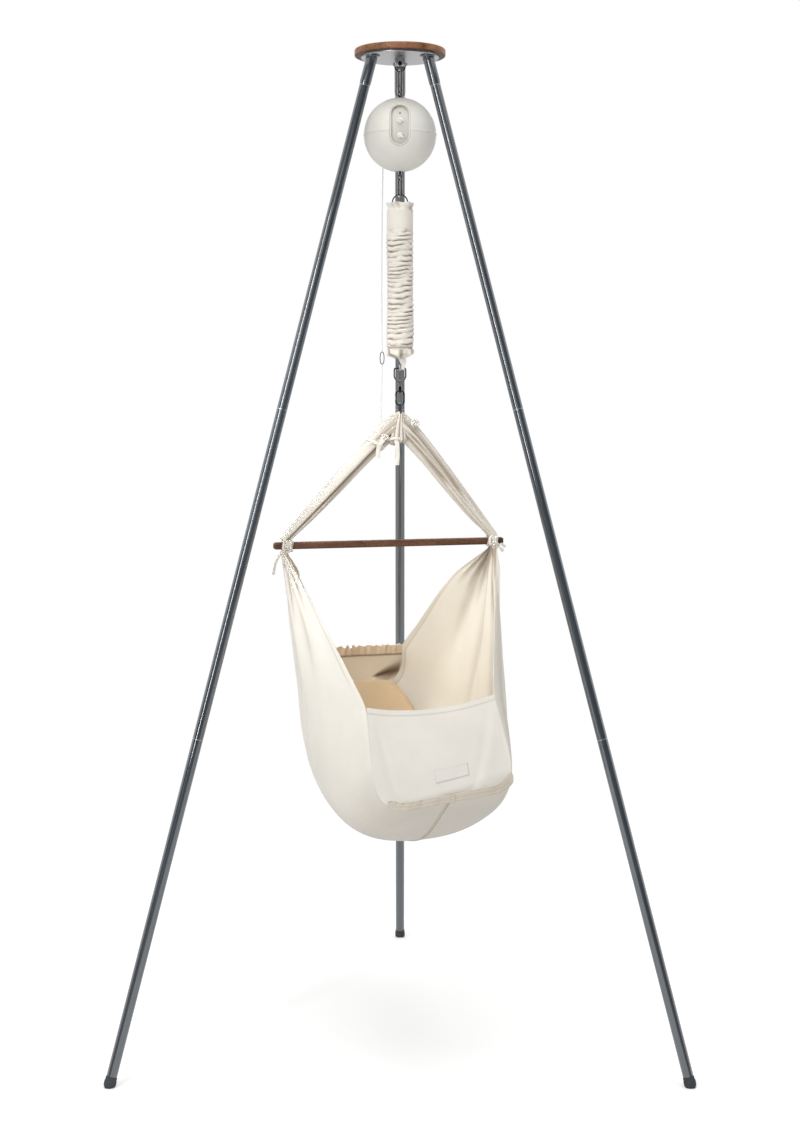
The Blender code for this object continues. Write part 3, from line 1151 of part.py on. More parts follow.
def make_safety_cord():
    """Make the safety cord from the ball's underside to a small hook, and on to the left strap."""
    depth = math.sqrt(BALL_RADIUS ** 2 - CORD_X ** 2 - CORD_Y ** 2)
    start = on_axis(BALL_Z - depth - 0.0012, CORD_X, CORD_Y)
    hook_top = on_axis(HOOK_TOP_Z + GAP, CORD_X - 0.0020, CORD_Y * 0.35)
    bow = Vector((-CORD_BOW, 0.0, 0.0))
    shares = [k / 16.0 for k in range(17)]
    upper = [start + (hook_top - start) * t + bow * 4.0 * t * (1.0 - t) for t in shares]
    wire("safety_cord", upper, CORD_RADIUS, CORD_WHITE, sides_level=2)
    centre = on_axis(HOOK_TOP_Z - HOOK_HEIGHT / 2.0, CORD_X - 0.0020, CORD_Y * 0.35)
    points = []
    for k in range(12):
        angle = 2.0 * math.pi * k / 12
        points.append(centre + Vector(((HOOK_HALF_WIDTH - HOOK_WIRE) * math.cos(angle), 0.0,
                                       (HOOK_HEIGHT / 2.0 - HOOK_WIRE) * math.sin(angle))))
    wire("safety_hook", points, HOOK_WIRE, CHROME, cyclic=True)
    low = on_axis(HOOK_TOP_Z - HOOK_HEIGHT - GAP, CORD_X - 0.0020, CORD_Y * 0.35)
    end = on_axis(CORD_END_Z, CORD_END_X, 0.0)
    lower = [low + (end - low) * t + bow * 2.0 * t * (1.0 - t) for t in [k / 8.0 for k in range(9)]]
    wire("safety_cord_lower", lower, CORD_RADIUS, CORD_WHITE, sides_level=2)
    ring_radius = CORD_RING_RADIUS
    ring_z = CORD_END_Z - GAP - CORD_RING_WIRE - ring_radius
    points = circle_points(on_axis(ring_z, CORD_END_X, 0.0), (1, 0, 0), (0, 0, 1), ring_radius, 14)
    wire("cord_ring", points, CORD_RING_WIRE, DARK_STEEL, cyclic=True)


def make_cover_loop():
    """Make the cloth loop from the cover's neck round the D-ring's upper bend."""
    radius = D_RING_WIRE + GAP + LOOP_SHEET
    centre_z = D_RING_TOP_Z
    top = COVER_BOTTOM_Z - GAP
    side_view = Matrix.Rotation(math.radians(90.0), 4, "Z") @ Matrix.Rotation(math.radians(90.0), 4, "X")
    outline = []
    for k in range(9):
        angle = math.pi + math.pi * k / 8
        outline.append((radius * math.cos(angle), centre_z + radius * math.sin(angle)))
    outline.append((radius, top))
    outline.append((-radius, top))
    inner = []
    inner_radius = D_RING_WIRE + GAP
    for k in range(9):
        angle = math.pi + math.pi * k / 8
        inner.append((inner_radius * math.cos(angle), centre_z + inner_radius * math.sin(angle)))
    inner.append((inner_radius, top - LOOP_SHEET))
    inner.append((-inner_radius, top - LOOP_SHEET))
    shift = on_axis(0.0, x=0.0058)
    place = Matrix.Translation(shift) @ side_view
    half = 0.0035
    loop = prism("cover_loop", outline, 2.0 * half, COTTON, place @ Matrix.Translation((0, 0, -half)))
    hole = cutter(prism("cover_loop_hole", inner, 4.0 * half, COTTON,
                        place @ Matrix.Translation((0, 0, -2.0 * half))))
    return apply_boolean(loop, hole, "DIFFERENCE")


def carried_by(joint_name, position, names, parent=None):
    """Put an empty on a joint's axis and parent the pieces that move with it."""
    empty = bpy.data.objects.new(joint_name, None)
    empty.empty_display_size = 0.02
    bpy.context.scene.collection.objects.link(empty)
    empty.location = position
    if parent is not None:
        empty.parent = parent[0]
        empty.matrix_parent_inverse = Matrix.Translation(-parent[1])
    for name in names:
        piece = bpy.data.objects[name]
        piece.parent = empty
        piece.matrix_parent_inverse = Matrix.Translation(-position)
    return empty, position


def gate_axis(top_z, length, bend, yaw, gate_side):
    """Return the point that a carabiner's gate turns about."""
    opening = (length - 2.0 * bend) * GATE_SHARE
    height = top_z - length / 2.0 - opening / 2.0 + GATE_HINGE_GAP
    angle = math.radians(yaw)
    return on_axis(height, gate_side * bend * math.cos(angle), gate_side * bend * math.sin(angle))


def make_joints():
    """Hang the moving pieces on empties that stand on their joints' axes."""
    ring = carried_by("ring_swing", on_axis(PIN_Z), ["top_ring"])
    unit_pieces = ["top_carabiner", "ball_eyelet", "upper_shell", "lower_shell", "control_panel",
                   "status_lens", "power_socket", "chassis", "gear_motor", "control_board"]
    unit = carried_by("unit_swing", on_axis(RING_Z - RING_RADIUS), unit_pieces, ring)
    yaw = LINK_YAW + 90.0
    carried_by("top_gate_opening",
               gate_axis(TOP_CARABINER_Z, TOP_CARABINER_LENGTH, CARABINER_BEND, yaw, 1.0),
               ["top_gate"], unit)
    knob_reach = BALL_RADIUS - PANEL_RECESS + 2.0 * GAP
    for name, elevation in KNOB_ELEVATIONS.items():
        angle = math.radians(elevation)
        place = on_axis(BALL_Z + knob_reach * math.sin(angle), 0.0, -knob_reach * math.cos(angle))
        carried_by(name + "_turn", place, [name], unit)
    drum_x = -(DRUM_RADIUS + GAP + STRAP_THICKNESS / 2.0)
    carried_by("drum_turn", on_axis(BALL_Z + DRUM_RISE, drum_x), ["drive_drum"], unit)
    lift_pieces = ["lift_rod", "drive_strap", "lower_carabiner", "split_ring", "spring", "spring_cover",
                   "safety_cord"]
    lift = carried_by("lift_travel", on_axis(LOWER_EYE_Z), lift_pieces, unit)
    carried_by("lower_gate_opening",
               gate_axis(LOWER_CARABINER_Z, LOWER_CARABINER_LENGTH, CARABINER_BEND, yaw, 1.0),
               ["lower_gate"], lift)
    hanger = carried_by("bounce", on_axis(SPRING_BOTTOM_Z), ["d_ring", "cover_loop", "swivel_eye"], lift)
    hammock_pieces = ["snap_hook", "apex_link", "hanging_band", "cord_ring", "safety_hook",
                      "safety_cord_lower", "spreader_bar", "tie_left", "tie_right", "sling_left",
                      "sling_right", "foot_panel", "head_panel", "mattress"]
    hammock = carried_by("hook_swivel", on_axis(SNAP_HOOK_Z), hammock_pieces, hanger)
    carried_by("snap_gate_opening",
               gate_axis(SNAP_HOOK_Z, SNAP_HOOK_LENGTH, SNAP_HOOK_BEND, 0.0, -1.0),
               ["snap_gate"], hammock)


def main():
    """Build every piece of the hammock and its stand."""
    clear_scene()
    make_top()
    for side in LEG_AZIMUTHS:
        make_leg(side)
    make_links()
    make_ball()
    make_drive()
    make_spring()
    make_cover()
    make_lower_links()
    make_cover_loop()
    make_bar()
    make_band()
    for side_name, side in (("left", -1.0), ("right", 1.0)):
        make_sling(side_name, side)
    make_end_panel("foot_panel", -1)
    make_end_panel("head_panel", 1)
    make_mattress()
    make_safety_cord()
    make_joints()


main()
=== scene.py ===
# %% [markdown]
# # A spring hammock on a tripod
# This lesson dresses a baby's spring hammock. Three slate tubes meet under a walnut disc, a motor
# ball hangs from it on steel hooks, and a covered spring carries a cotton basket.
# The frame below is the measured model of every solid piece. It is loaded first and never changed: each new piece is
# made around it, and most of them then ride on one of its moving bodies.

# %% Load the measured frame
import json
import math
import bmesh
import bpy
import numpy as np
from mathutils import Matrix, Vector

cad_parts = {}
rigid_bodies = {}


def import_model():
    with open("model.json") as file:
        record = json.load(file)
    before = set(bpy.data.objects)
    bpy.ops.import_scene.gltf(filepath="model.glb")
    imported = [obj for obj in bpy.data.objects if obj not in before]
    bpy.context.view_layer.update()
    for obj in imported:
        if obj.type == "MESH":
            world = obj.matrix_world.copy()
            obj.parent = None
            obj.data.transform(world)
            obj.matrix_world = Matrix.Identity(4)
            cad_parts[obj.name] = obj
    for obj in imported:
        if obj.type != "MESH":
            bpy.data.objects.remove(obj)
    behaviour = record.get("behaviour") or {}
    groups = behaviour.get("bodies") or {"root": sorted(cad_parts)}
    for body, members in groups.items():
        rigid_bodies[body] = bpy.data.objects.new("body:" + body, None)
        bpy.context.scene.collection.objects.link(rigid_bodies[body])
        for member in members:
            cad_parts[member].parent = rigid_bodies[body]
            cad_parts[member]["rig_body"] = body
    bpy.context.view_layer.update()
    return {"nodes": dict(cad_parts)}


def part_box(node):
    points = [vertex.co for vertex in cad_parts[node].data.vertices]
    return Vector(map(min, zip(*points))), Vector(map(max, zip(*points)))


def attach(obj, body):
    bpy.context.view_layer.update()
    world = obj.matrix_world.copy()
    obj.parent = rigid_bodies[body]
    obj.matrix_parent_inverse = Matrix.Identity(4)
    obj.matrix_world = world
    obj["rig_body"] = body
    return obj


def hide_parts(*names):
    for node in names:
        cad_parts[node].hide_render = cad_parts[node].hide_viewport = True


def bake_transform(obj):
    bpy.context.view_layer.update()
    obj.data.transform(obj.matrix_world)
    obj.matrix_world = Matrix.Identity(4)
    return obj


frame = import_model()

MM = 0.001
AXIS_Y = (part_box("wood_disc")[0].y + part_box("wood_disc")[1].y) / 2.0
AXIS = np.array([0.0, AXIS_Y, 0.0])

# %% [markdown]
# ## The camera
# The picture was taken with a long lens from a little above the bar, 3.6 m in front of the hanging
# line and tilted down by 5.4 degrees. A camera's focal length in pixels is turned into millimetres
# by the sensor's long side, which stands for the picture's 1134 rows.

# %% Stand the camera where the picture was taken
PICTURE_ROWS = 1134
FOCAL_PIXELS = 1786.1
camera = bpy.data.objects.new("camera", bpy.data.cameras.new("camera"))
bpy.context.scene.collection.objects.link(camera)
camera.data.sensor_fit = "AUTO"
camera.data.sensor_width = 36.0
camera.data.lens = 36.0 * FOCAL_PIXELS / PICTURE_ROWS
camera.location = (0.0, AXIS_Y - 3.6038, 1.3003)
camera.rotation_euler = (math.radians(90.0) - 0.0936, 0.0, 0.0)
bpy.context.scene.camera = camera
print("lens, mm:", round(camera.data.lens, 2))

# %% [markdown]
# ## Small tools for surfaces
# Every new piece is a grid of points that a formula fills in one go: a profile turned about an
# axis, or a section carried along a path. Two-parameter grids are easy to check and to change,
# which is why they are used here and not hand-placed vertices.

# %% Vectors, curves and gentle noise
def unit(vectors):
    """Each vector divided by its length."""
    return vectors / (np.linalg.norm(vectors, axis=-1, keepdims=True) + 1e-12)


def spline(points, count, closed=False):
    """A smooth curve through points: on each span a cubic whose slope at a point is half the
    difference of the points before and after it (Catmull and Rom's rule)."""
    p = np.asarray(points, float)
    if closed:
        p = np.vstack([p[-1:], p, p[:2]])
    else:
        p = np.vstack([2 * p[:1] - p[1:2], p, 2 * p[-1:] - p[-2:-1]])
    spans = len(p) - 3
    place = np.linspace(0.0, spans, count, endpoint=not closed)
    k = np.minimum(place.astype(int), spans - 1)
    t = (place - k)[:, None]
    a, b, c, d = p[k], p[k + 1], p[k + 2], p[k + 3]
    return b + 0.5 * t * (c - a + t * (2 * a - 5 * b + 4 * c - d + t * (3 * (b - c) + d - a)))


def evenly(path, count):
    """The same path with its points at equal distances along it."""
    steps = np.linalg.norm(np.diff(path, axis=0), axis=1)
    along = np.concatenate([[0.0], np.cumsum(steps)])
    place = np.linspace(0.0, along[-1], count)
    return np.stack([np.interp(place, along, path[:, k]) for k in range(path.shape[1])], axis=1)


def ripple(a, b, seed, waves=7, coarse=1.0, fine=4.0):
    """Soft noise from -1 to 1: a sum of sine waves in fixed random directions and phases."""
    random = np.random.default_rng(seed)
    total, weight = 0.0, 0.0
    for size in np.geomspace(coarse, fine, waves):
        heading, phase = random.uniform(0.0, 2.0 * np.pi, 2)
        total = total + np.sin(size * (a * np.cos(heading) + b * np.sin(heading)) + phase) / size ** 0.7
        weight += 1.0 / size ** 0.7
    return total / (0.6 * weight)


def step(x, low, high):
    """A smooth rise from 0 at low to 1 at high."""
    t = np.clip((x - low) / (high - low), 0.0, 1.0)
    return t * t * (3.0 - 2.0 * t)


def ridge(x):
    """Gathered cloth seen end on: round backs with sharp valleys, one for each whole turn of x."""
    return np.abs(np.sin(0.5 * x)) ** 0.7


# %% Grids, turned shapes and carried sections
def grid(points, wrap=(False, True), material=0, flip=None, painted_shade=0.0):
    """A part of a piece: a grid of points with four-cornered faces between neighbours. wrap joins the last row or
    column to the first. Texture places run in metres along both directions, and the last argument is how much painted
    shade each point gets, from 0 to 1, mostly deep in folds."""
    rows, columns = points.shape[:2]
    i, j = np.meshgrid(np.arange(rows - (not wrap[0])), np.arange(columns - (not wrap[1])),
                       indexing="ij")
    corners = [(i, j), (i + 1, j), (i + 1, j + 1), (i, j + 1)]
    faces = np.stack([(a % rows) * columns + b % columns for a, b in corners], -1).reshape(-1, 4)
    down = np.linalg.norm(np.roll(points, -1, 0) - points, axis=2).mean(1)
    over = np.linalg.norm(np.roll(points, -1, 1) - points, axis=2).mean(0)
    v = np.concatenate([[0.0], np.cumsum(down)])
    u = np.concatenate([[0.0], np.cumsum(over)])
    places = np.stack([np.stack([u[b], v[a]], -1) for a, b in corners], -2).reshape(-1, 4, 2)
    flat = points.reshape(-1, 3)
    if flip is None:
        middle = flat.mean(0)
        a, b, c, d = (flat[faces[:, k]] - middle for k in range(4))
        volume = (a * np.cross(b, c)).sum() + (a * np.cross(c, d)).sum()
        flip = volume < 0.0
    if flip:
        faces, places = faces[:, ::-1], places[:, ::-1]
    depth = np.broadcast_to(np.asarray(painted_shade, float), points.shape[:2]).reshape(-1)
    return flat, faces, places, material, depth


def basis(axis):
    """Two unit vectors square to an axis and to each other."""
    axis = unit(np.asarray(axis, float))
    first = unit(np.cross(axis, [0.0, 1.0, 0.0] if abs(axis[1]) < 0.9 else [1.0, 0.0, 0.0]))
    return first, np.cross(axis, first), axis


def turned(profile, sides, base, axis=(0.0, 0.0, 1.0), closed=False, material=0):
    """A profile of (radius, height) turned about an axis: point = base + radius (cos t e1 + sin t
    e2) + height axis. A radius of 0 makes a pole, and closed joins the profile's ends."""
    profile = np.asarray(profile, float)
    t = np.linspace(0.0, 2.0 * np.pi, sides, endpoint=False)
    first, second, axis = basis(axis)
    ring = np.cos(t)[:, None] * first + np.sin(t)[:, None] * second
    points = (np.asarray(base, float) + profile[:, :1, None] * ring
              + profile[:, 1:, None] * axis)
    return grid(points, wrap=(closed, True), material=material)


def carried(path, across, wide, deep=None, sides=12, power=1.0, closed=False, material=0):
    """A section carried along a path. The section is an oval, half wide along 'across' and half
    deep square to it; a power below 1 squares it off. The ends close to a point."""
    path = np.asarray(path, float)
    deep = wide if deep is None else deep
    if closed:
        tangent = unit(np.roll(path, -1, 0) - np.roll(path, 1, 0))
    else:
        tangent = unit(np.gradient(path, axis=0))
    across = np.broadcast_to(np.asarray(across, float), path.shape)
    across = unit(across - (across * tangent).sum(1, keepdims=True) * tangent)
    out = np.cross(tangent, across)
    t = np.linspace(0.0, 2.0 * np.pi, sides, endpoint=False)
    c = (np.sign(np.cos(t)) * np.abs(np.cos(t)) ** power)[:, None]
    s = (np.sign(np.sin(t)) * np.abs(np.sin(t)) ** power)[:, None]
    wide = np.broadcast_to(wide, len(path))[:, None, None]
    deep = np.broadcast_to(deep, len(path))[:, None, None]
    points = path[:, None] + wide * c * across[:, None] + deep * s * out[:, None]
    if not closed:
        ends = [np.repeat(path[k][None, None], sides, 1) for k in (0, -1)]
        points = np.concatenate([ends[0], points, ends[1]])
    return grid(points, wrap=(closed, True), material=material)


def arc(centre, first, second, radius, start, sweep, count):
    """Points on a circle from start through sweep degrees, from 'first' towards 'second'."""
    t = np.radians(np.linspace(start, start + sweep, count))[:, None]
    return (np.asarray(centre, float)
            + radius * (np.cos(t) * np.asarray(first, float) + np.sin(t) * np.asarray(second, float)))


# %% [markdown]
# ## From grids to pieces
# A piece may be made of several grids. They are put into one mesh, doubled points are welded so
# that poles and seams close, and edges sharper than 35 degrees stay crisp.
# A sheet of cloth gets its thickness from a Solidify modifier, which is then applied.

# %% Put the parts of a piece into one mesh
def piece(name, parts, body, materials, stands_for=(), sharp=35.0, weld=1e-6):
    """Build one object from its parts and let it ride on a body."""
    shift, points, faces, places, kinds, folds = 0, [], [], [], [], []
    for flat, quads, uv, material, depth in parts:
        folds.append(depth)
        points.append(flat)
        faces.append(quads + shift)
        places.append(uv)
        kinds.append(np.full(len(quads), material))
        shift += len(flat)
    points, faces = np.concatenate(points), np.concatenate(faces)
    mesh = bpy.data.meshes.new(name)
    mesh.from_pydata(points.tolist(), [], faces.tolist())
    layer = mesh.uv_layers.new(name="metres")
    layer.data.foreach_set("uv", np.concatenate(places).reshape(-1))
    mesh.polygons.foreach_set("material_index", np.concatenate(kinds).astype(np.int32))
    # Each point's painted shade amount is kept on the mesh for the cotton finishes to darken with.
    mesh.attributes.new("painted_shade", "FLOAT", "POINT").data.foreach_set("value", np.concatenate(folds))
    obj = bpy.data.objects.new(name, mesh)
    bpy.context.scene.collection.objects.link(obj)
    for material in materials:
        mesh.materials.append(material)
    bm = bmesh.new()
    bm.from_mesh(mesh)
    bmesh.ops.remove_doubles(bm, verts=bm.verts, dist=weld)
    bmesh.ops.dissolve_degenerate(bm, edges=bm.edges, dist=1e-7)
    bm.to_mesh(mesh)
    bm.free()
    mesh.shade_smooth()
    mesh.set_sharp_from_angle(angle=math.radians(sharp))
    if body:
        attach(obj, body)
    if stands_for:
        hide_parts(*stands_for)
    return obj


def settled(obj):
    """Apply an object's modifiers, so that the mesh it shows is the mesh it has."""
    shown = bpy.data.meshes.new_from_object(
        obj.evaluated_get(bpy.context.evaluated_depsgraph_get()))
    obj.modifiers.clear()
    obj.data = shown
    return obj


def thickened(obj, thickness, lining=0, offset=-1.0):
    """Give a sheet its thickness on the side away from its normals, with the lining's material."""
    modifier = obj.modifiers.new("thickness", "SOLIDIFY")
    modifier.thickness = thickness
    modifier.offset = offset
    modifier.material_offset = lining
    modifier.use_even_offset = False
    return settled(obj)


def refined(node, name, material, bevel):
    """A node's own shape with its doubled points welded and its edges rounded by a bevel."""
    source = frame["nodes"][node]
    mesh = source.data.copy()
    bm = bmesh.new()
    bm.from_mesh(mesh)
    bmesh.ops.remove_doubles(bm, verts=bm.verts, dist=1e-6)
    bmesh.ops.dissolve_limit(bm, angle_limit=math.radians(1.0), verts=bm.verts, edges=bm.edges)
    bm.to_mesh(mesh)
    bm.free()
    mesh.materials.clear()
    mesh.materials.append(material)
    obj = bpy.data.objects.new(name, mesh)
    bpy.context.scene.collection.objects.link(obj)
    modifier = obj.modifiers.new("round edges", "BEVEL")
    modifier.width, modifier.segments, modifier.angle_limit = bevel, 2, math.radians(40.0)
    mesh.shade_smooth()
    mesh.set_sharp_from_angle(angle=math.radians(30.0))
    settled(obj)
    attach(obj, source["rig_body"])
    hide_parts(node)
    return obj


def length_of(path):
    """A path's length in metres, added up from point to point."""
    return float(np.linalg.norm(np.diff(path, axis=0), axis=1).sum())


def cloth(obj, flat, held, rests_on=(), shaped=False):
    """Return the sheet of cloth unchanged; its flat size is not used. The argument 'shaped', for a cut that isn't a
    rectangle, is not used."""
    return obj


# %% [markdown]
# ## Finishes
# Each finish is a small tree of nodes around one Principled shader. What is the same all over a
# surface is typed on the shader; what varies, such as grain, weave or wear, is drawn by noise that
# reads the piece's own coordinates in metres. Bump is kept to the height that the real surface has.

# %% Tools for finishes
def node(tree, kind, inputs=None, **settings):
    """Add a shader node, set its properties, and fill or link its inputs."""
    new = tree.nodes.new("ShaderNode" + kind)
    for key, value in settings.items():
        setattr(new, key, value)
    for key, value in (inputs or {}).items():
        if isinstance(value, bpy.types.NodeSocket):
            tree.links.new(value, new.inputs[key])
        else:
            new.inputs[key].default_value = value
    return new


def finish(name, colour, roughness, metallic=0.0, **sockets):
    """A material with its Principled shader's constant sockets typed in."""
    material = bpy.data.materials.new(name)
    material.use_nodes = True
    shader = material.node_tree.nodes["Principled BSDF"]
    shader.inputs["Base Color"].default_value = (*colour, 1.0)
    shader.inputs["Roughness"].default_value = roughness
    shader.inputs["Metallic"].default_value = metallic
    for key, value in sockets.items():
        shader.inputs[key.replace("_", " ")].default_value = value
    material.diffuse_color = (*colour, 1.0)
    return material, material.node_tree, shader


def noise(tree, where, scale, detail=4.0, roughness=0.5, distortion=0.0):
    """Noise of a scale in cells per metre, read at 'where'."""
    return node(tree, "TexNoise", {"Vector": where, "Scale": scale, "Detail": detail,
                                   "Roughness": roughness, "Distortion": distortion}).outputs["Fac"]


def ramp(tree, value, low, high, dark, light):
    """A colour that goes from dark at 'low' to light at 'high'."""
    new = node(tree, "ValToRGB", {"Fac": value})
    new.color_ramp.elements[0].position, new.color_ramp.elements[1].position = low, high
    new.color_ramp.elements[0].color = (*dark, 1.0)
    new.color_ramp.elements[1].color = (*light, 1.0)
    return new.outputs["Color"]


def between(tree, value, low, high):
    """A number that goes from low to high as value goes from 0 to 1."""
    return node(tree, "MapRange", {"Value": value, "To Min": low, "To Max": high}).outputs["Result"]


def raised(tree, shader, heights):
    """Bump from several (height, distance in metres, strength), each laid over the one before."""
    normal = None
    for height, distance, strength in heights:
        inputs = {"Height": height, "Distance": distance, "Strength": strength}
        if normal is not None:
            inputs["Normal"] = normal
        normal = node(tree, "Bump", inputs).outputs["Normal"]
    tree.links.new(normal, shader.inputs["Normal"])


def object_place(tree, scale=(1.0, 1.0, 1.0), rotation=(0.0, 0.0, 0.0)):
    """The piece's own coordinates in metres, turned and stretched."""
    place = node(tree, "TexCoord").outputs["Object"]
    return node(tree, "Mapping", {"Vector": place, "Scale": scale, "Rotation": rotation}).outputs[0]


# %% Walnut
def walnut(name, along, dark, light):
    """Oiled walnut. Long noise along the grain gives the figure, and short dashes the open pores. A face that looks
    down is darkened by painted shade."""
    material, tree, shader = finish(name, light, 0.46, Coat_Weight=0.05, Coat_Roughness=0.3,
                                    Specular_IOR_Level=0.35)
    spin = (0.0, 0.0, -along)
    grain = noise(tree, object_place(tree, (6.0, 46.0, 46.0), spin), 1.0, 8.0, 0.62, 0.6)
    pores = noise(tree, object_place(tree, (45.0, 900.0, 900.0), spin), 1.0, 3.0, 0.6)
    figure = ramp(tree, grain, 0.30, 0.72, dark, light)
    dark = ramp(tree, pores, 0.38, 0.50, (0.45, 0.38, 0.34), (1.0, 1.0, 1.0))
    mixed = node(tree, "Mix", {"Factor": 1.0, 6: figure, 7: dark}, data_type="RGBA",
                 blend_type="MULTIPLY").outputs[2]
    # Painted shade: faces that look down are darkened, down to a quarter at the bottom.
    facing = node(tree, "SeparateXYZ", {"Vector": node(tree, "NewGeometry").outputs["Normal"]})
    shade = ramp(tree, node(tree, "Math", {0: facing.outputs[2], 1: 1.0}, operation="ADD").outputs[0],
                 0.05, 0.45, (0.22, 0.20, 0.18), (1.0, 1.0, 1.0))
    mixed = node(tree, "Mix", {"Factor": 1.0, 6: mixed, 7: shade}, data_type="RGBA",
                 blend_type="MULTIPLY").outputs[2]
    tree.links.new(mixed, shader.inputs["Base Color"])
    tree.links.new(between(tree, pores, 0.56, 0.40), shader.inputs["Roughness"])
    raised(tree, shader, [(grain, 0.3 * MM, 0.25), (pores, 0.15 * MM, 0.5)])
    return material


BAR_YAW = math.radians(17.0)
disc_walnut = walnut("walnut of the disc", math.radians(8.0), (0.13, 0.052, 0.022), (0.48, 0.215, 0.095))
bar_walnut = walnut("walnut of the bar", BAR_YAW, (0.053, 0.021, 0.009), (0.190, 0.086, 0.046))

# %% Slate powder coat, rubber and moulded shell
def powder_coat():
    """Slate blue-grey powder coat: a fine orange peel and a slightly uneven gloss."""
    material, tree, shader = finish("slate powder coat", (0.040, 0.051, 0.062), 0.34,
                                    Coat_Weight=1.0, Coat_Roughness=0.06, Coat_IOR=2.0)
    place = object_place(tree)
    peel = noise(tree, place, 900.0, 2.0)
    cloud = noise(tree, place, 9.0, 3.0)
    tree.links.new(ramp(tree, cloud, 0.3, 0.7, (0.034, 0.045, 0.056), (0.043, 0.056, 0.069)),
                   shader.inputs["Base Color"])
    tree.links.new(between(tree, cloud, 0.28, 0.42), shader.inputs["Roughness"])
    raised(tree, shader, [(peel, 0.05 * MM, 0.25)])
    return material


def moulded(name, dark, light, roughness, grain=700.0, height=0.04):
    """Moulded plastic or rubber with a fine spark-eroded grain and faint flow marks."""
    material, tree, shader = finish(name, light, roughness)
    place = object_place(tree)
    tree.links.new(ramp(tree, noise(tree, place, 14.0, 5.0), 0.25, 0.75, dark, light),
                   shader.inputs["Base Color"])
    fine = noise(tree, place, grain, 3.0)
    tree.links.new(between(tree, fine, roughness - 0.06, roughness + 0.06),
                   shader.inputs["Roughness"])
    raised(tree, shader, [(fine, height * MM, 0.35)])
    return material


slate = powder_coat()
rubber = moulded("foot rubber", (0.028, 0.031, 0.035), (0.050, 0.054, 0.060), 0.72, 420.0, 0.12)
shell = moulded("shell plastic", (0.67, 0.655, 0.595), (0.71, 0.695, 0.640), 0.46)
# The panel's sunk floor gets a darker plastic: painted shade for its recess.
sunk_floor_shaded_plastic = moulded("panel plastic", (0.56, 0.55, 0.49), (0.60, 0.59, 0.53), 0.42)
knob_white = moulded("knob plastic", (0.74, 0.73, 0.68), (0.79, 0.78, 0.73), 0.36)
black_plastic = moulded("black plastic", (0.012, 0.012, 0.013), (0.026, 0.026, 0.028), 0.40)

# %% Metals
def metal(name, dark, light, roughness, stretch=(60.0, 60.0, 60.0), height=0.01, painted_core=1.0):
    """A metal with faint smears in its gloss; stretch draws the smears out into brushing. For plated wire a painted
    reflection darkens the colour where the wire faces the eye and leaves its edges bright; the last argument is how
    dark that painted line is."""
    material, tree, shader = finish(name, light, roughness, 1.0)
    smear = noise(tree, object_place(tree, stretch), 1.0, 6.0, 0.6)
    tint = ramp(tree, smear, 0.3, 0.7, dark, light)
    # Painted reflection: the colour goes dark where the wire faces the eye and stays bright towards its edges.
    if painted_core < 1.0:
        facing = node(tree, "LayerWeight", {"Blend": 0.5}).outputs["Facing"]
        line = ramp(tree, facing, 0.16, 0.42, (painted_core, painted_core, painted_core), (1.0, 1.0, 1.0))
        tint = node(tree, "Mix", {"Factor": 1.0, 6: tint, 7: line}, data_type="RGBA",
                    blend_type="MULTIPLY").outputs[2]
    tree.links.new(tint, shader.inputs["Base Color"])
    tree.links.new(between(tree, smear, roughness * 0.7, roughness * 1.4),
                   shader.inputs["Roughness"])
    raised(tree, shader, [(smear, height * MM, 0.3)])
    return material


# Chrome and dark steel wire carry the painted reflection.
chrome = metal("chrome", (0.36, 0.36, 0.37), (0.70, 0.70, 0.71), 0.06, painted_core=0.04)
polished = metal("polished steel", (0.30, 0.30, 0.31), (0.62, 0.62, 0.63), 0.10)
brushed = metal("brushed steel", (0.52, 0.52, 0.53), (0.64, 0.64, 0.65), 0.34, (900.0, 25.0, 25.0))
dark_steel = metal("dark steel", (0.18, 0.18, 0.185), (0.36, 0.36, 0.37), 0.18, painted_core=0.06)
board_green = moulded("board laminate", (0.02, 0.12, 0.05), (0.03, 0.17, 0.07), 0.42)

# %% [markdown]
# ## Cotton
# The basket is undyed cotton in a plain weave. Each thread is about 0.6 mm wide, so the weave is a
# product of two sine waves over the sheet's own coordinates, which run in metres. Broad noise makes
# the cloth slightly uneven, small brown seed flecks are left from the plant, and short creases are
# bumped in on top of the folds that the mesh has.

# %% Woven finishes
THREAD = 0.62 * MM


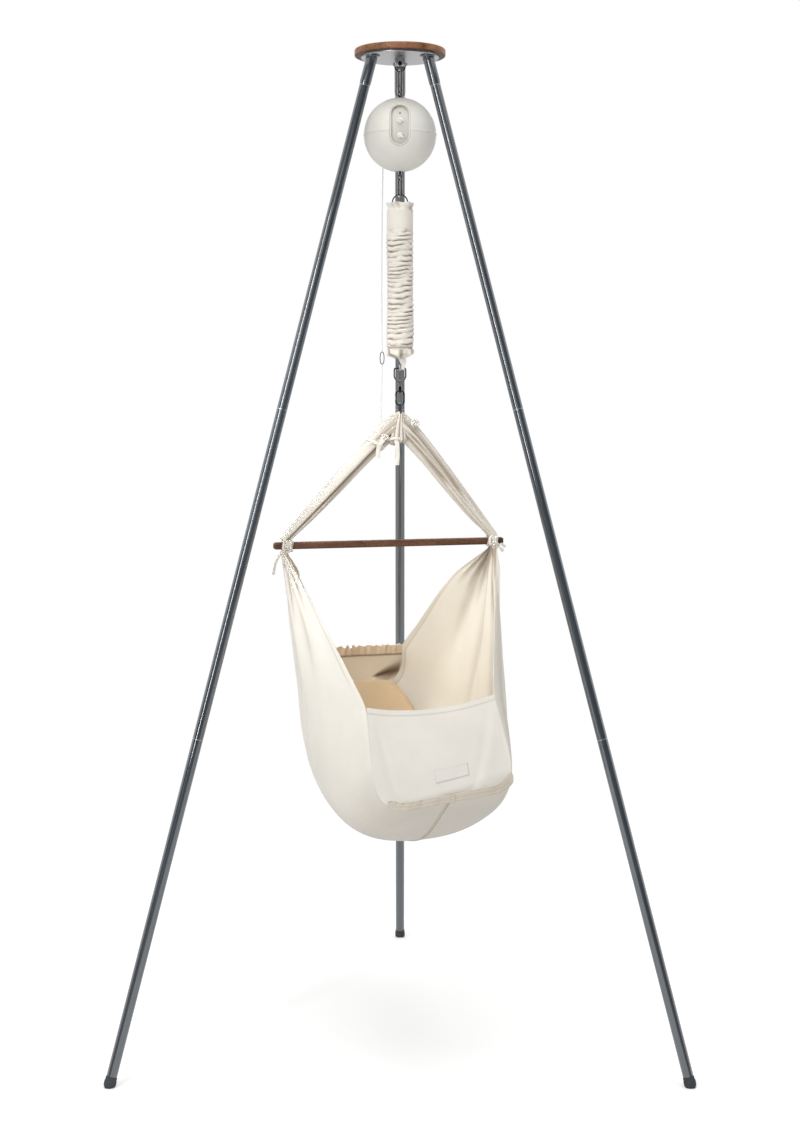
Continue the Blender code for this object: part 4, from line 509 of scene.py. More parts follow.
def woven(name, dark, light, flecks=0.5, crease=1.0, thread=THREAD, from_uv=True,
          deep=(0.30, 0.205, 0.135), through=0.15):
    """Plain weave: height = sin(u) sin(v) over thread widths, with creases and seed flecks. The colour is multiplied
    towards 'deep' by each point's painted shade amount, which stands in for the warm dim light deep in folds and in
    other shaded places. A share 'through' of the light passes through the sheet, as it does through thin cotton."""
    material, tree, shader = finish(name, light, 0.88, Sheen_Weight=0.12, Sheen_Roughness=0.4,
                                    Specular_IOR_Level=0.25)
    place = object_place(tree)
    cloth = node(tree, "TexCoord").outputs["UV" if from_uv else "Object"]
    turn = math.pi / thread
    parts = node(tree, "SeparateXYZ", {"Vector": cloth})
    waves = []
    for axis in (0, 1):
        angle = node(tree, "Math", {0: parts.outputs[axis], 1: turn}, operation="MULTIPLY")
        waves.append(node(tree, "Math", {0: angle.outputs[0]}, operation="SINE").outputs[0])
    weave = node(tree, "Math", {0: waves[0], 1: waves[1]}, operation="MULTIPLY").outputs[0]
    broad = noise(tree, place, 16.0, 4.0)
    tint = ramp(tree, broad, 0.28, 0.72, dark, light)
    seeds = noise(tree, place, 330.0, 2.0)
    speck = ramp(tree, seeds, 0.205, 0.235, (0.62, 0.52, 0.40), (1.0, 1.0, 1.0))
    tint = node(tree, "Mix", {"Factor": flecks, 6: tint, 7: speck}, data_type="RGBA",
                blend_type="MULTIPLY").outputs[2]
    # Painted shade: the colour goes towards 'deep' as each point's shade amount rises.
    shade_amount = node(tree, "Attribute", attribute_name="painted_shade").outputs["Fac"]
    shade = ramp(tree, shade_amount, 0.0, 1.0, (1.0, 1.0, 1.0), deep)
    tint = node(tree, "Mix", {"Factor": 1.0, 6: tint, 7: shade}, data_type="RGBA",
                blend_type="MULTIPLY").outputs[2]
    tree.links.new(tint, shader.inputs["Base Color"])
    creases = noise(tree, place, 42.0, 5.0, 0.55, 1.2)
    raised(tree, shader, [(creases, 2.0 * MM * crease, 0.30), (weave, 0.04 * MM, 0.25)])
    glow = node(tree, "BsdfTranslucent", {"Color": tint})
    both = node(tree, "MixShader", {0: through})
    tree.links.new(shader.outputs[0], both.inputs[1])
    tree.links.new(glow.outputs[0], both.inputs[2])
    tree.links.new(both.outputs[0], tree.nodes["Material Output"].inputs["Surface"])
    return material


cotton = woven("cotton", (0.82, 0.79, 0.72), (0.86, 0.83, 0.765))
# The insides, 'cotton inside' and the head end lining, are the same cloth as the outside tinted lighter and warmer:
# painted light and shade for the warm light inside the basket.
lining = woven("cotton inside", (0.91, 0.865, 0.765), (0.94, 0.895, 0.795), through=0.25)
strap_cotton = woven("strap cotton", (0.71, 0.665, 0.585), (0.77, 0.725, 0.65), crease=0.25)
sleeve_cotton = woven("sleeve cotton", (0.85, 0.805, 0.725), (0.90, 0.86, 0.785), crease=0.25)
head_lining = woven("head end lining", (0.97, 0.89, 0.775), (0.985, 0.915, 0.805), through=0.60)
mattress_cotton = woven("mattress cotton", (0.58, 0.42, 0.255), (0.63, 0.465, 0.295),
                        crease=0.7, from_uv=False, through=0.0)
tape = woven("ribbed tape", (0.58, 0.52, 0.43), (0.68, 0.62, 0.525), thread=1.1 * MM, crease=0.2)
patch_cotton = woven("label patch", (0.73, 0.71, 0.66), (0.77, 0.75, 0.695), flecks=0.0, crease=0.3)
foot_cotton = woven("foot end cotton", (0.73, 0.705, 0.645), (0.77, 0.745, 0.69))
head_outside = woven("head end outside", (0.82, 0.79, 0.72), (0.86, 0.83, 0.765), deep=(0.85, 0.81, 0.76))
thread_white = woven("sewing thread", (0.80, 0.76, 0.68), (0.84, 0.80, 0.72), flecks=0.0,
                     crease=0.0, thread=0.25 * MM)
cord_white = woven("twisted cord", (0.78, 0.77, 0.73), (0.86, 0.85, 0.82), flecks=0.0,
                   crease=0.0, thread=0.5 * MM)
print("finishes:", len(bpy.data.materials))

# %% [markdown]
# ## The tripod
# Three legs lean in from a circle on the floor to a small circle under the plate. Each leg is a
# socket, three tubes that plug into each other, and a rubber foot. All of them are turned shapes on
# the leg's own axis. Where two tubes meet, the bare end of the sleeve shows as a thin bright line.

# %% Legs
PLATE_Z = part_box("top_plate")[0].z
TOP_CIRCLE = 0.0627
FOOT_CIRCLE = 0.638
TUBE = 10.2 * MM
SLEEVE = 8.4 * MM
SOCKET = 11.2 * MM
SOCKET_LENGTH = 0.062
SECTION = 0.656
FOOT_TALL = 0.020
LEGS = {"left": 210.0, "right": 330.0, "rear": 90.0}


def leg_line(side):
    """The leg's point under the plate, its direction up, and its length."""
    angle = math.radians(LEGS[side])
    out = np.array([math.cos(angle), math.sin(angle), 0.0])
    top = AXIS + out * TOP_CIRCLE + [0.0, 0.0, PLATE_Z]
    floor = AXIS + out * FOOT_CIRCLE
    return top, unit(top - floor), float(np.linalg.norm(top - floor))


def cut_flat(part, low=-1.0, high=9.0, along=(0.0, 0.0, 1.0)):
    """Slide points that stand above or below two levels along a direction until they are level."""
    points = part[0]
    along = np.asarray(along, float)
    over = points[:, 2] - np.clip(points[:, 2], low, high)
    points -= (over / along[2])[:, None] * along
    return part


def tube_parts(base, up, length):
    """A tube with small chamfers at both ends, and its sleeve's bright edge at the lower joint."""
    wall = [(SLEEVE, 0.0), (TUBE - 0.5 * MM, 0.0), (TUBE, 0.7 * MM), (TUBE, 4.0 * MM)]
    wall += [(TUBE, length * k / 6.0) for k in range(1, 6)]
    wall += [(TUBE, length - 4.0 * MM), (TUBE, length - 0.7 * MM),
             (TUBE - 0.5 * MM, length), (SLEEVE, length)]
    edge = [(SLEEVE, -0.6 * MM), (TUBE, -0.6 * MM), (TUBE + 0.08 * MM, 0.0),
            (TUBE, 0.6 * MM), (SLEEVE, 0.6 * MM)]
    return (turned(wall, 48, base, up, closed=True),
            turned(edge, 48, base + up * length, up, closed=True, material=1))


for side in LEGS:
    top, up, length = leg_line(side)
    outline = [(SLEEVE, -SOCKET_LENGTH), (TUBE, -SOCKET_LENGTH),
               (SOCKET - 0.3 * MM, 6.0 * MM - SOCKET_LENGTH), (SOCKET, 8.0 * MM - SOCKET_LENGTH),
               (SOCKET, -20.0 * MM), (SOCKET, 12.0 * MM), (0.0, 12.0 * MM), (0.0, -16.0 * MM),
               (SLEEVE, -16.0 * MM)]
    body = cut_flat(turned(outline, 48, top, up, closed=True), high=PLATE_Z - 0.3 * MM, along=up)
    lip = [(0.0, -2.8 * MM), (13.6 * MM, -2.8 * MM), (14.6 * MM, -2.4 * MM), (15.0 * MM, -1.6 * MM),
           (15.0 * MM, -0.3 * MM), (0.0, -0.3 * MM)]
    piece("leg_socket_" + side + "_coated", [body, turned(lip, 48, top)], "stand", [slate],
          ["leg_socket_" + side])
    for index, stem in enumerate(("upper_tube_", "middle_tube_", "lower_tube_")):
        near = SOCKET_LENGTH + index * SECTION + 0.3 * MM
        far = SOCKET_LENGTH + (index + 1) * SECTION if index < 2 else length - FOOT_TALL - 0.3 * MM
        piece(stem + side + "_coated", tube_parts(top - up * far, up, far - near), "stand",
              [slate, brushed], [stem + side])
    floor = top - up * length
    foot = [(0.0, -8.0 * MM), (7.0 * MM, -8.0 * MM), (9.0 * MM, -1.0 * MM), (10.8 * MM, 1.4 * MM),
            (11.7 * MM, 4.5 * MM), (11.8 * MM, 8.0 * MM), (11.7 * MM, 12.0 * MM),
            (11.2 * MM, 13.0 * MM), (10.9 * MM, 13.3 * MM), (10.9 * MM, 19.2 * MM),
            (10.3 * MM, 20.0 * MM), (8.0 * MM, 20.0 * MM), (8.0 * MM, 44.0 * MM), (0.0, 45.0 * MM)]
    piece("foot_" + side + "_rubber", [cut_flat(turned(foot, 48, floor, up), low=0.0)], "stand",
          [rubber], ["foot_" + side])
print("leg length, m:", round(length, 4))

# %% [markdown]
# ## The walnut disc, its plate and the bracket
# The disc is a turned board with softened edges and a satin plate under it. The bracket's U of flat
# bar is the frame's own shape with its edges rounded.

# %% Top
low, high = (v.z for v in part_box("wood_disc"))
SOFT = 3.0 * MM
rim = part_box("wood_disc")[1].x
edge = [(0.0, low), (rim - SOFT, low)]
edge += [(rim - SOFT + SOFT * math.sin(t), low + SOFT - SOFT * math.cos(t))
         for t in np.radians([22.5, 45.0, 67.5, 90.0])]
edge += [(rim - SOFT + SOFT * math.cos(t), high - SOFT + SOFT * math.sin(t))
         for t in np.radians([0.0, 22.5, 45.0, 67.5, 90.0])]
edge += [(0.0, high)]
piece("wood_disc_oiled", [turned(edge, 96, AXIS)], "stand", [disc_walnut], ["wood_disc"])
plate_low, plate_high = (v.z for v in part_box("top_plate"))
plate_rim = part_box("top_plate")[1].x
piece("top_plate_satin",
      [turned([(4.3 * MM, plate_low), (plate_rim - 0.6 * MM, plate_low),
               (plate_rim, plate_low + 0.6 * MM), (plate_rim, plate_high), (4.3 * MM, plate_high)],
              96, AXIS, closed=True)],
      "stand", [brushed], ["top_plate"])
refined("hanging_bracket", "hanging_bracket_polished", polished, 0.5 * MM)
PIN_Z = (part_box("bracket_pin")[0].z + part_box("bracket_pin")[1].z) / 2.0
half_pin = (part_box("bracket_pin")[1].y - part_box("bracket_pin")[0].y) / 2.0
head = half_pin - 2.4 * MM
piece("bracket_pin_polished",
      [turned([(0.0, -half_pin), (3.6 * MM, -half_pin), (4.6 * MM, 0.9 * MM - half_pin),
               (4.6 * MM, -head), (2.5 * MM, -head), (2.5 * MM, head), (4.6 * MM, head),
               (4.6 * MM, half_pin - 0.9 * MM), (3.6 * MM, half_pin), (0.0, half_pin)],
              32, AXIS + [0.0, 0.0, PIN_Z], (0.0, 1.0, 0.0))],
      "stand", [chrome], ["bracket_pin"])

# %% [markdown]
# ## Rings, hooks and eyes
# All of these are round wire bent to a flat outline. A carabiner's wire starts at its gate's hinge,
# runs round the lower bend, up the back and over the top to the nose; the gate is a second wire.
# Carrying a circle along the outline gives smooth bends with few faces.

# %% Bent wire
ACROSS_UP = (0.0, 0.0, 1.0)


def level(points, centre_z, yaw):
    """Points of a flat outline (x, z) stood up on the hanging line and turned by yaw degrees."""
    points = np.asarray(points, float)
    heading = np.radians(yaw)
    return np.stack([points[:, 0] * np.cos(heading), AXIS_Y + points[:, 0] * np.sin(heading),
                     centre_z + points[:, 1]], axis=1)


def flat_normal(yaw):
    """The direction square to an upright plane that is turned by yaw degrees."""
    return (-math.sin(math.radians(yaw)), math.cos(math.radians(yaw)), 0.0)


def wire_ring(centre_z, radius, wire, yaw, count=64, material=0):
    """A closed ring of round wire in an upright plane."""
    t = np.linspace(0.0, 2.0 * np.pi, count, endpoint=False)
    path = level(np.stack([radius * np.cos(t), radius * np.sin(t)], 1), centre_z, yaw)
    return carried(path, flat_normal(yaw), wire, sides=16, closed=True, material=material)


def hook_and_gate(names, nodes, bodies, finishes, top_z, length, bend, yaw, side,
                  wire=2.0 * MM, gate_wire=1.6 * MM):
    """A spring-gate hook: its bent body and its gate, as two pieces on two bodies."""
    opening = (length - 2.0 * bend) * 0.52
    hinge, nose = -length / 2.0 - opening / 2.0, -length / 2.0 + opening / 2.0
    lower = arc((0.0, bend - length), (side, 0.0), (0.0, -1.0), bend, 0.0, 180.0, 25)
    upper = arc((0.0, -bend), (-side, 0.0), (0.0, 1.0), bend, 0.0, 180.0, 25)
    flat = np.vstack([[(side * bend, hinge)], lower, upper, [(side * bend, nose)]])
    path = level(flat, top_z, yaw)
    body = carried(path, flat_normal(yaw), wire, sides=16)
    barrel = level([(side * bend, hinge + 1.1 * MM)], top_z, yaw)[0]
    normal = np.array(flat_normal(yaw))
    pin = turned([(0.0, -2.3 * MM), (0.7 * MM, -2.3 * MM), (0.7 * MM, 2.3 * MM), (0.0, 2.3 * MM)],
                 16, barrel, normal)
    piece(names[0], [body, pin], bodies[0], [finishes[0]], [nodes[0]])
    low, high = hinge + 1.1 * MM, nose - 0.3 * MM
    gate = level([(side * bend, low), (side * bend, low + 1.5 * MM), (side * bend, high - 2.5 * MM),
                  (side * bend, high - 1.0 * MM), (side * bend, high)], top_z, yaw)
    size = np.array([0.8, 1.0, 1.0, 1.06, 0.95]) * gate_wire
    piece(names[1], [carried(gate, normal, size, sides=16)], bodies[1], [finishes[0]],
          [nodes[1]])


def middle_z(name):
    """Half-way up a node's box."""
    return (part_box(name)[0].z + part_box(name)[1].z) / 2.0


LINK_YAW = 115.0
piece("top_ring_polished", [wire_ring(middle_z("top_ring"), 10.0 * MM, 1.6 * MM, 0.0)], "ring",
      [chrome], ["top_ring"])
hook_and_gate(("top_carabiner_polished", "top_gate_polished"), ("top_carabiner", "top_gate"),
              ("drive_unit", "top_gate_lever"), [chrome],
              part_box("top_carabiner")[1].z - 2.0 * MM, 46.0 * MM, 8.0 * MM, LINK_YAW, 1.0)
hook_and_gate(("lower_carabiner_polished", "lower_gate_polished"), ("lower_carabiner", "lower_gate"),
              ("lift", "lower_gate_lever"), [chrome],
              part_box("lower_carabiner")[1].z - 2.0 * MM, 36.0 * MM, 8.0 * MM, LINK_YAW, 1.0)
split_z = middle_z("split_ring")
turns = np.linspace(0.0, 2.0, 97)
coil = level(np.stack([15.0 * MM * np.cos(2 * np.pi * turns), 15.0 * MM * np.sin(2 * np.pi * turns)],
                      1), split_z, 0.0)
coil[:, 1] += (turns - 1.0) * 1.5 * MM
piece("split_ring_polished", [carried(coil, (0.0, 1.0, 0.0), 0.75 * MM, 1.3 * MM, sides=12, power=0.7)],
      "lift", [chrome], ["split_ring"])

# %% Eyes with stems, and the D-ring
EYE, EYE_WIRE = 4.5 * MM, 1.5 * MM
eye_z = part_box("ball_eyelet")[1].z - EYE_WIRE - EYE
BALL = 71.8 * MM
BALL_Z = eye_z - EYE - EYE_WIRE - 1.5 * MM - BALL
collar = BALL_Z + BALL + 0.3 * MM
piece("ball_eyelet_polished",
      [wire_ring(eye_z, EYE, EYE_WIRE, 25.0),
       turned([(0.0, BALL_Z + 42.7 * MM), (4.5 * MM, BALL_Z + 42.7 * MM),
               (4.5 * MM, BALL_Z + 46.7 * MM), (2.6 * MM, BALL_Z + 46.7 * MM), (2.6 * MM, collar),
               (7.6 * MM, collar), (8.0 * MM, collar + 0.4 * MM), (7.4 * MM, collar + 0.9 * MM),
               (3.0 * MM, collar + 1.3 * MM), (1.8 * MM, collar + 2.2 * MM),
               (0.0, collar + 2.4 * MM)], 32, AXIS)],
      "drive_unit", [chrome], ["ball_eyelet"])
low_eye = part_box("lift_rod")[0].z + EYE_WIRE + EYE
rod_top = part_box("lift_rod")[1].z
piece("lift_rod_polished",
      [wire_ring(low_eye, EYE, EYE_WIRE, 25.0),
       turned([(0.0, low_eye + EYE), (1.8 * MM, low_eye + EYE), (3.0 * MM, low_eye + EYE + 2 * MM),
               (3.0 * MM, rod_top - 0.5 * MM), (2.5 * MM, rod_top), (0.0, rod_top)], 32, AXIS)],
      "lift", [chrome], ["lift_rod"])
d_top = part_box("d_ring")[1].z - 1.6 * MM
d_flat = [(8.5, 0.0), (10.6, -0.9), (11.5, -3.0), (11.5, -9.0), (11.5, -15.4), (9.9, -20.2),
          (6.0, -25.2), (2.5, -27.4), (0.0, -28.0)]
d_flat += [(-x, z) for x, z in d_flat[-2::-1]]
d_path = level(np.array(spline(np.array([(x, z) for x, z in d_flat]), 90, closed=True)) * MM,
               d_top, 0.0)
piece("d_ring_polished", [carried(d_path, (0.0, 1.0, 0.0), 1.6 * MM, sides=16, closed=True)],
      "hanger", [chrome], ["d_ring"])
swivel_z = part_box("swivel_eye")[1].z - EYE_WIRE - EYE
neck_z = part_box("snap_hook")[0].z + 2.0 * MM + 30.0 * MM
piece("swivel_eye_dark",
      [wire_ring(swivel_z, EYE, EYE_WIRE, 90.0),
       turned([(0.0, neck_z - 4.7 * MM), (3.0 * MM, neck_z - 4.7 * MM), (3.0 * MM, neck_z - 3.1 * MM),
               (1.8 * MM, neck_z - 3.1 * MM), (1.8 * MM, swivel_z - EYE), (0.0, swivel_z - EYE)],
              24, AXIS)], "hanger", [dark_steel], ["swivel_eye"])
hook_and_gate(("snap_hook_dark", "snap_gate_dark"), ("snap_hook", "snap_gate"),
              ("hammock", "snap_gate_lever"), [dark_steel], neck_z, 30.0 * MM,
              8.0 * MM, 0.0, -1.0)
swivel_collar = piece(
    "snap_hook_collar", [turned([(2.1 * MM, neck_z - 2.8 * MM), (3.6 * MM, neck_z - 2.8 * MM),
                                 (4.0 * MM, neck_z - 2.2 * MM), (4.0 * MM, neck_z + 7.4 * MM),
                                 (3.4 * MM, neck_z + 8.0 * MM), (2.1 * MM, neck_z + 8.0 * MM)],
                                32, AXIS, closed=True)], "hammock", [dark_steel])
link_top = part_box("apex_link")[1].z - 2.0 * MM
HAMMOCK_YAW = 17.0
link_flat = np.vstack([arc((0.0, -6.2), (1.0, 0.0), (0.0, 1.0), 6.2, 0.0, 180.0, 24),
                       arc((0.0, -17.8), (-1.0, 0.0), (0.0, -1.0), 6.2, 0.0, 180.0, 24)]) * MM
piece("apex_link_dark",
      [carried(level(link_flat, link_top, 90.0 + HAMMOCK_YAW), flat_normal(90.0 + HAMMOCK_YAW),
               2.0 * MM, sides=16, closed=True)], "hammock", [dark_steel],
      ["apex_link"])
print("middle of the ball, m:", round(BALL_Z, 4))

# %% [markdown]
# ## The motor ball
# Two shells meet in a raised seam round the middle, and a stadium-shaped opening in the front holds
# the control panel. A ball is usually a turned shape, but then the opening would have to be cut.
# Here the grid's poles are the ball's front and back: lines run from the opening's rim round to the
# back, so that the rim is a clean edge and the seam, which runs through both poles, is one too.

# %% Shells
RISE, HALF_WIDE, HALF_TALL = 12.0 * MM, 20.0 * MM, 41.0 * MM


def stadium(turn, inset):
    """Distance from the ball's front pole to the panel's outline in the direction 'turn': to a
    straight side it is half the width over |cos|, and to a round end it solves the end's circle."""
    wide = HALF_WIDE - inset
    straight = HALF_TALL - HALF_WIDE
    side = wide / np.maximum(np.abs(np.cos(turn)), 1e-9)
    off = side * np.sin(turn) - RISE
    end = RISE + np.where(np.sin(turn) > 0.0, straight, -straight)
    root = np.maximum(wide ** 2 - (end * np.cos(turn)) ** 2, 0.0)
    curved = end * np.sin(turn) + np.sqrt(root)
    return np.where(np.abs(off) <= straight, side, curved)


def on_ball(turn, reach, radius):
    """A point on a ball of a radius, above the front plane's point at a distance and a turn."""
    deep = np.sqrt(np.maximum(radius ** 2 - reach ** 2, 0.0))
    return np.stack([reach * np.cos(turn), AXIS_Y - deep,
                     BALL_Z + reach * np.sin(turn)], axis=-1)


def half_shell(upper):
    """Half the ball: radius = 71.8 mm plus a bead near the seam, polar angle from the rim to 180."""
    fine = np.array([0.0, 0.006, 0.012, 0.018, 0.025, 0.034, 0.05, 0.08])
    turn = np.concatenate([fine, np.linspace(0.12, np.pi - 0.12, 50), np.pi - fine[::-1]])
    turn = turn if upper else -turn
    rim = np.arcsin(stadium(turn, 0.0) / BALL)
    share = np.linspace(0.0, 1.0, 49)[:, None]
    polar = rim + (np.pi - rim) * share
    height = BALL * np.sin(polar) * np.sin(turn)
    bead = 0.9 * MM * np.exp(-(height / (1.3 * MM)) ** 2) * step(polar, 0.0, 0.6)
    radius = BALL + bead
    points = np.stack([radius * np.sin(polar) * np.cos(turn), AXIS_Y - radius * np.cos(polar),
                       BALL_Z + radius * np.sin(polar) * np.sin(turn)], axis=-1)
    points[..., 2] += 0.15 * MM if upper else -0.15 * MM
    return points


def bored(obj, base, radius, length):
    """Bore a round hole down through a piece, so that what passes through has room."""
    cutter = piece("cutter", [turned([(0.0, 0.0), (radius, 0.0), (radius, length), (0.0, length)],
                                     48, base)], None, [shell])
    modifier = obj.modifiers.new("bore", "BOOLEAN")
    modifier.object, modifier.operation, modifier.solver = cutter, "DIFFERENCE", "EXACT"
    settled(obj)
    bpy.data.objects.remove(cutter)
    return obj


for name, upper in (("upper_shell", True), ("lower_shell", False)):
    points = half_shell(upper)
    part = grid(points, wrap=(False, False), flip=False)
    corner = points[20:22, 20:22]
    facing = np.cross(corner[1, 0] - corner[0, 0], corner[0, 1] - corner[0, 0])
    outward = corner[0, 0] - (AXIS + [0.0, 0.0, BALL_Z])
    if facing @ outward < 0.0:
        part = grid(points, wrap=(False, False), flip=True)
    half = piece(name + "_moulded", [part], "drive_unit", [shell], [name], sharp=50.0)
    thickened(half, 2.6 * MM)
    if upper:
        bored(half, AXIS + [0.0, 0.0, BALL_Z + 0.05], 2.9 * MM, 0.05)
    else:
        bored(half, AXIS + [0.0, 0.0, BALL_Z - 0.10], 8.5 * MM, 0.05)
        back = np.array([0.0, math.cos(math.radians(24.0)), -math.sin(math.radians(24.0))])

# %% [markdown]
# ## The control panel
# The panel is a tray with a raised lip, a sunk floor, a status lens and two turning knobs. Its rows
# follow the same stadium outline, each set in a little further and at its own distance from the
# middle of the ball, so the tray bends with the ball.

# %% Panel, lens and knobs
turn = np.linspace(0.0, 2.0 * np.pi, 120, endpoint=False)
FLOOR = BALL - 5.5 * MM
tray_rows = [(0.3, BALL - 3.0 * MM), (0.3, BALL + 0.3 * MM), (0.6, BALL + 0.9 * MM),
             (1.2, BALL + 1.2 * MM), (1.9, BALL + 1.0 * MM), (2.4, BALL + 0.3 * MM),
             (2.8, BALL - 1.5 * MM), (3.1, FLOOR + 0.7 * MM), (3.7, FLOOR + 0.1 * MM), (4.4, FLOOR)]
rows = [on_ball(turn, stadium(turn, inset * MM), radius) for inset, radius in tray_rows]
rows += [on_ball(turn, stadium(turn, 4.4 * MM) * share, FLOOR) for share in (0.75, 0.5, 0.25, 0.0)]
rows += [on_ball(turn, stadium(turn, 0.3 * MM) * share, FLOOR - 2.2 * MM)
         for share in (0.0, 0.25, 0.5, 0.75, 0.97)]
tray = grid(np.array(rows), wrap=(True, True))
piece("control_panel_moulded", [tray], "drive_unit", [shell, sunk_floor_shaded_plastic],
      ["control_panel"], sharp=50.0)
panel_mesh = bpy.data.objects["control_panel_moulded"].data
# The sunk floor and its inner walls get the darker plastic, painted shade for the recess.
sunk = np.array([(face.center - Vector((0.0, AXIS_Y, BALL_Z))).length < BALL - 1.0 * MM
                 for face in panel_mesh.polygons])
panel_mesh.polygons.foreach_set("material_index", sunk.astype(np.int32))


def ball_out(elevation, heading=-90.0):
    """The direction out of the ball at an elevation, in front of it or at its back."""
    e, h = math.radians(elevation), math.radians(heading)
    return np.array([math.cos(e) * math.cos(h), math.cos(e) * math.sin(h), math.sin(e)])


CENTRE = AXIS + [0.0, 0.0, BALL_Z]
out = ball_out(30.8)
piece("status_lens_clear",
      [turned([(0.0, -2.2 * MM), (1.7 * MM, -2.2 * MM), (1.7 * MM, 0.2 * MM), (1.4 * MM, 0.5 * MM),
               (0.8 * MM, 0.75 * MM), (0.0, 0.85 * MM)], 24, CENTRE + out * FLOOR, out)],
      "drive_unit", [black_plastic], ["status_lens"])
for name, body, elevation, pointing in (("speed_knob", "speed_control", 15.6, 20.0),
                                        ("timer_knob", "timer_control", -8.3, 35.0)):
    out = ball_out(elevation)
    base = CENTRE + out * (FLOOR + 0.6 * MM)
    skirt = [(0.0, -6.0 * MM), (1.5 * MM, -6.0 * MM), (1.5 * MM, 0.0), (5.3 * MM, 0.0),
             (5.8 * MM, 0.5 * MM), (5.75 * MM, 1.6 * MM), (5.3 * MM, 2.6 * MM), (4.9 * MM, 5.2 * MM),
             (4.5 * MM, 6.0 * MM), (3.6 * MM, 6.4 * MM), (0.0, 6.6 * MM)]
    a = math.radians(pointing)
    grip_way = unit(np.array([math.cos(a), 0.0, -math.sin(a)]))
    grip_way = unit(grip_way - (grip_way @ out) * out)
    across = np.cross(out, grip_way)
    s = np.linspace(-1.0, 1.0, 17)
    path = base + out * 6.6 * MM + (s[:, None] + 0.35) * 6.6 * MM * grip_way
    thin = (1.0 - s ** 8) ** 0.5
    grip = carried(path, across, 1.7 * MM * thin + 0.02 * MM, 4.4 * MM * thin + 0.02 * MM,
                   sides=20, power=0.6)
    piece(name + "_moulded", [turned(skirt, 48, base, out), grip], body, [knob_white],
          [name])
refined("power_socket", "power_socket_moulded", black_plastic, 0.2 * MM)
for name, material in (("chassis", brushed), ("gear_motor", dark_steel), ("drive_drum", brushed),
                       ("drive_strap", black_plastic), ("control_board", board_green)):
    frame["nodes"][name].data.materials.clear()
    frame["nodes"][name].data.materials.append(material)

# %% [markdown]
# ## The spring and its gathered sleeve
# The spring is a close coil between two hooks, and it stretches between the lift and the hanger.
# Its sleeve is a cotton tube much longer than the spring, pushed together into some thirty uneven
# gathers. The gathers are waves down the tube whose phase wanders round it, so that they split and
# join as real ones do. The top is left smooth, and the lower end is drawn in and frilled.

# %% Coil
SPRING_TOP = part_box("spring")[1].z
SPRING_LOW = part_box("spring")[0].z
WIRE = 1.75 * MM
HOOK = 5.2 * MM
coil_top = SPRING_TOP - WIRE - HOOK - 0.036
coil_low = SPRING_LOW + WIRE + HOOK + 0.036
COIL_TURNS = 44
t = np.linspace(0.0, 1.0, COIL_TURNS * 20 + 1)
ends = np.minimum(1.0, np.minimum(t, 1.0 - t) * COIL_TURNS / 0.75)
radius = 16.0 * MM * ends
coil = np.stack([radius * np.cos(2 * np.pi * COIL_TURNS * t),
                 AXIS_Y + radius * np.sin(2 * np.pi * COIL_TURNS * t),
                 coil_top + (coil_low - coil_top) * t], 1)
hook_up = arc((0.0, AXIS_Y, SPRING_TOP - WIRE - HOOK), (0, 1, 0), (0, 0, 1), HOOK, 10.0, 260.0, 25)
hook_down = arc((0.0, AXIS_Y, SPRING_LOW + WIRE + HOOK), (0, 1, 0), (0, 0, -1), HOOK, 270.0,
                -260.0, 25)
path = np.vstack([hook_up, coil, hook_down])
spring = piece("spring_coiled", [carried(path, (0.02, 0.01, 1.0), WIRE, sides=8)], None, [brushed],
               ["spring"], sharp=60.0, weld=1e-9)
SPAN_TOP = (0.0, AXIS_Y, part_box("spring_cover")[1].z)
SPAN_LOW = (0.0, AXIS_Y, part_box("spring_cover")[0].z)
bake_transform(spring)

# %% Gathered sleeve
COVER_TOP, COVER_LOW = SPAN_TOP[2], SPAN_LOW[2]
COVER = 26.8 * MM
GATHERS = 25
SMOOTH = 0.058
DRAWN = COVER_LOW + 0.0195
turn = np.linspace(0.0, 2.0 * np.pi, 144, endpoint=False)[None, :]
down = np.linspace(0.0, 1.0, 440)[:, None]
z = COVER_TOP + (COVER_LOW - COVER_TOP) * down
cloud = ripple(2.4 * np.cos(turn) + 0 * z, 2.4 * np.sin(turn) + 60.0 * z, 5)
wander = 0.16 * np.sin(turn + 0.7) + 0.10 * np.sin(2 * turn + 2.1) + 0.15 * cloud
reach = np.clip((COVER_TOP - SMOOTH - z) / (COVER_TOP - SMOOTH - DRAWN), 0.0, 1.0)
phase = 2.0 * np.pi * (GATHERS * (reach + 0.014 * np.sin(17.0 * reach)) + wander)
patchy = ripple(3.0 * np.cos(turn) + 24.0 * z, 3.0 * np.sin(turn) - 190.0 * z, 11, 7, 1.0, 3.0)
uneven = np.clip(0.72 + 0.62 * patchy, 0.08, 1.5)
gathered = step(COVER_TOP - z, 0.040, 0.066) * step(z, DRAWN - 0.002, DRAWN + 0.006)
pucker = ripple(6.0 * np.cos(turn) + 25.0 * z, 6.0 * np.sin(turn) + 520.0 * z, 14, 7, 1.0, 2.4)
swell = 0.9 * MM * ripple(1.6 * np.cos(turn), 1.6 * np.sin(turn) + 26.0 * z, 8, 5)
plump = ridge(phase) ** 0.75
radius = (COVER - 0.8 * MM + swell + gathered * uneven * (4.4 * MM * plump - 3.2 * MM)
          + gathered * 0.45 * MM * pucker)
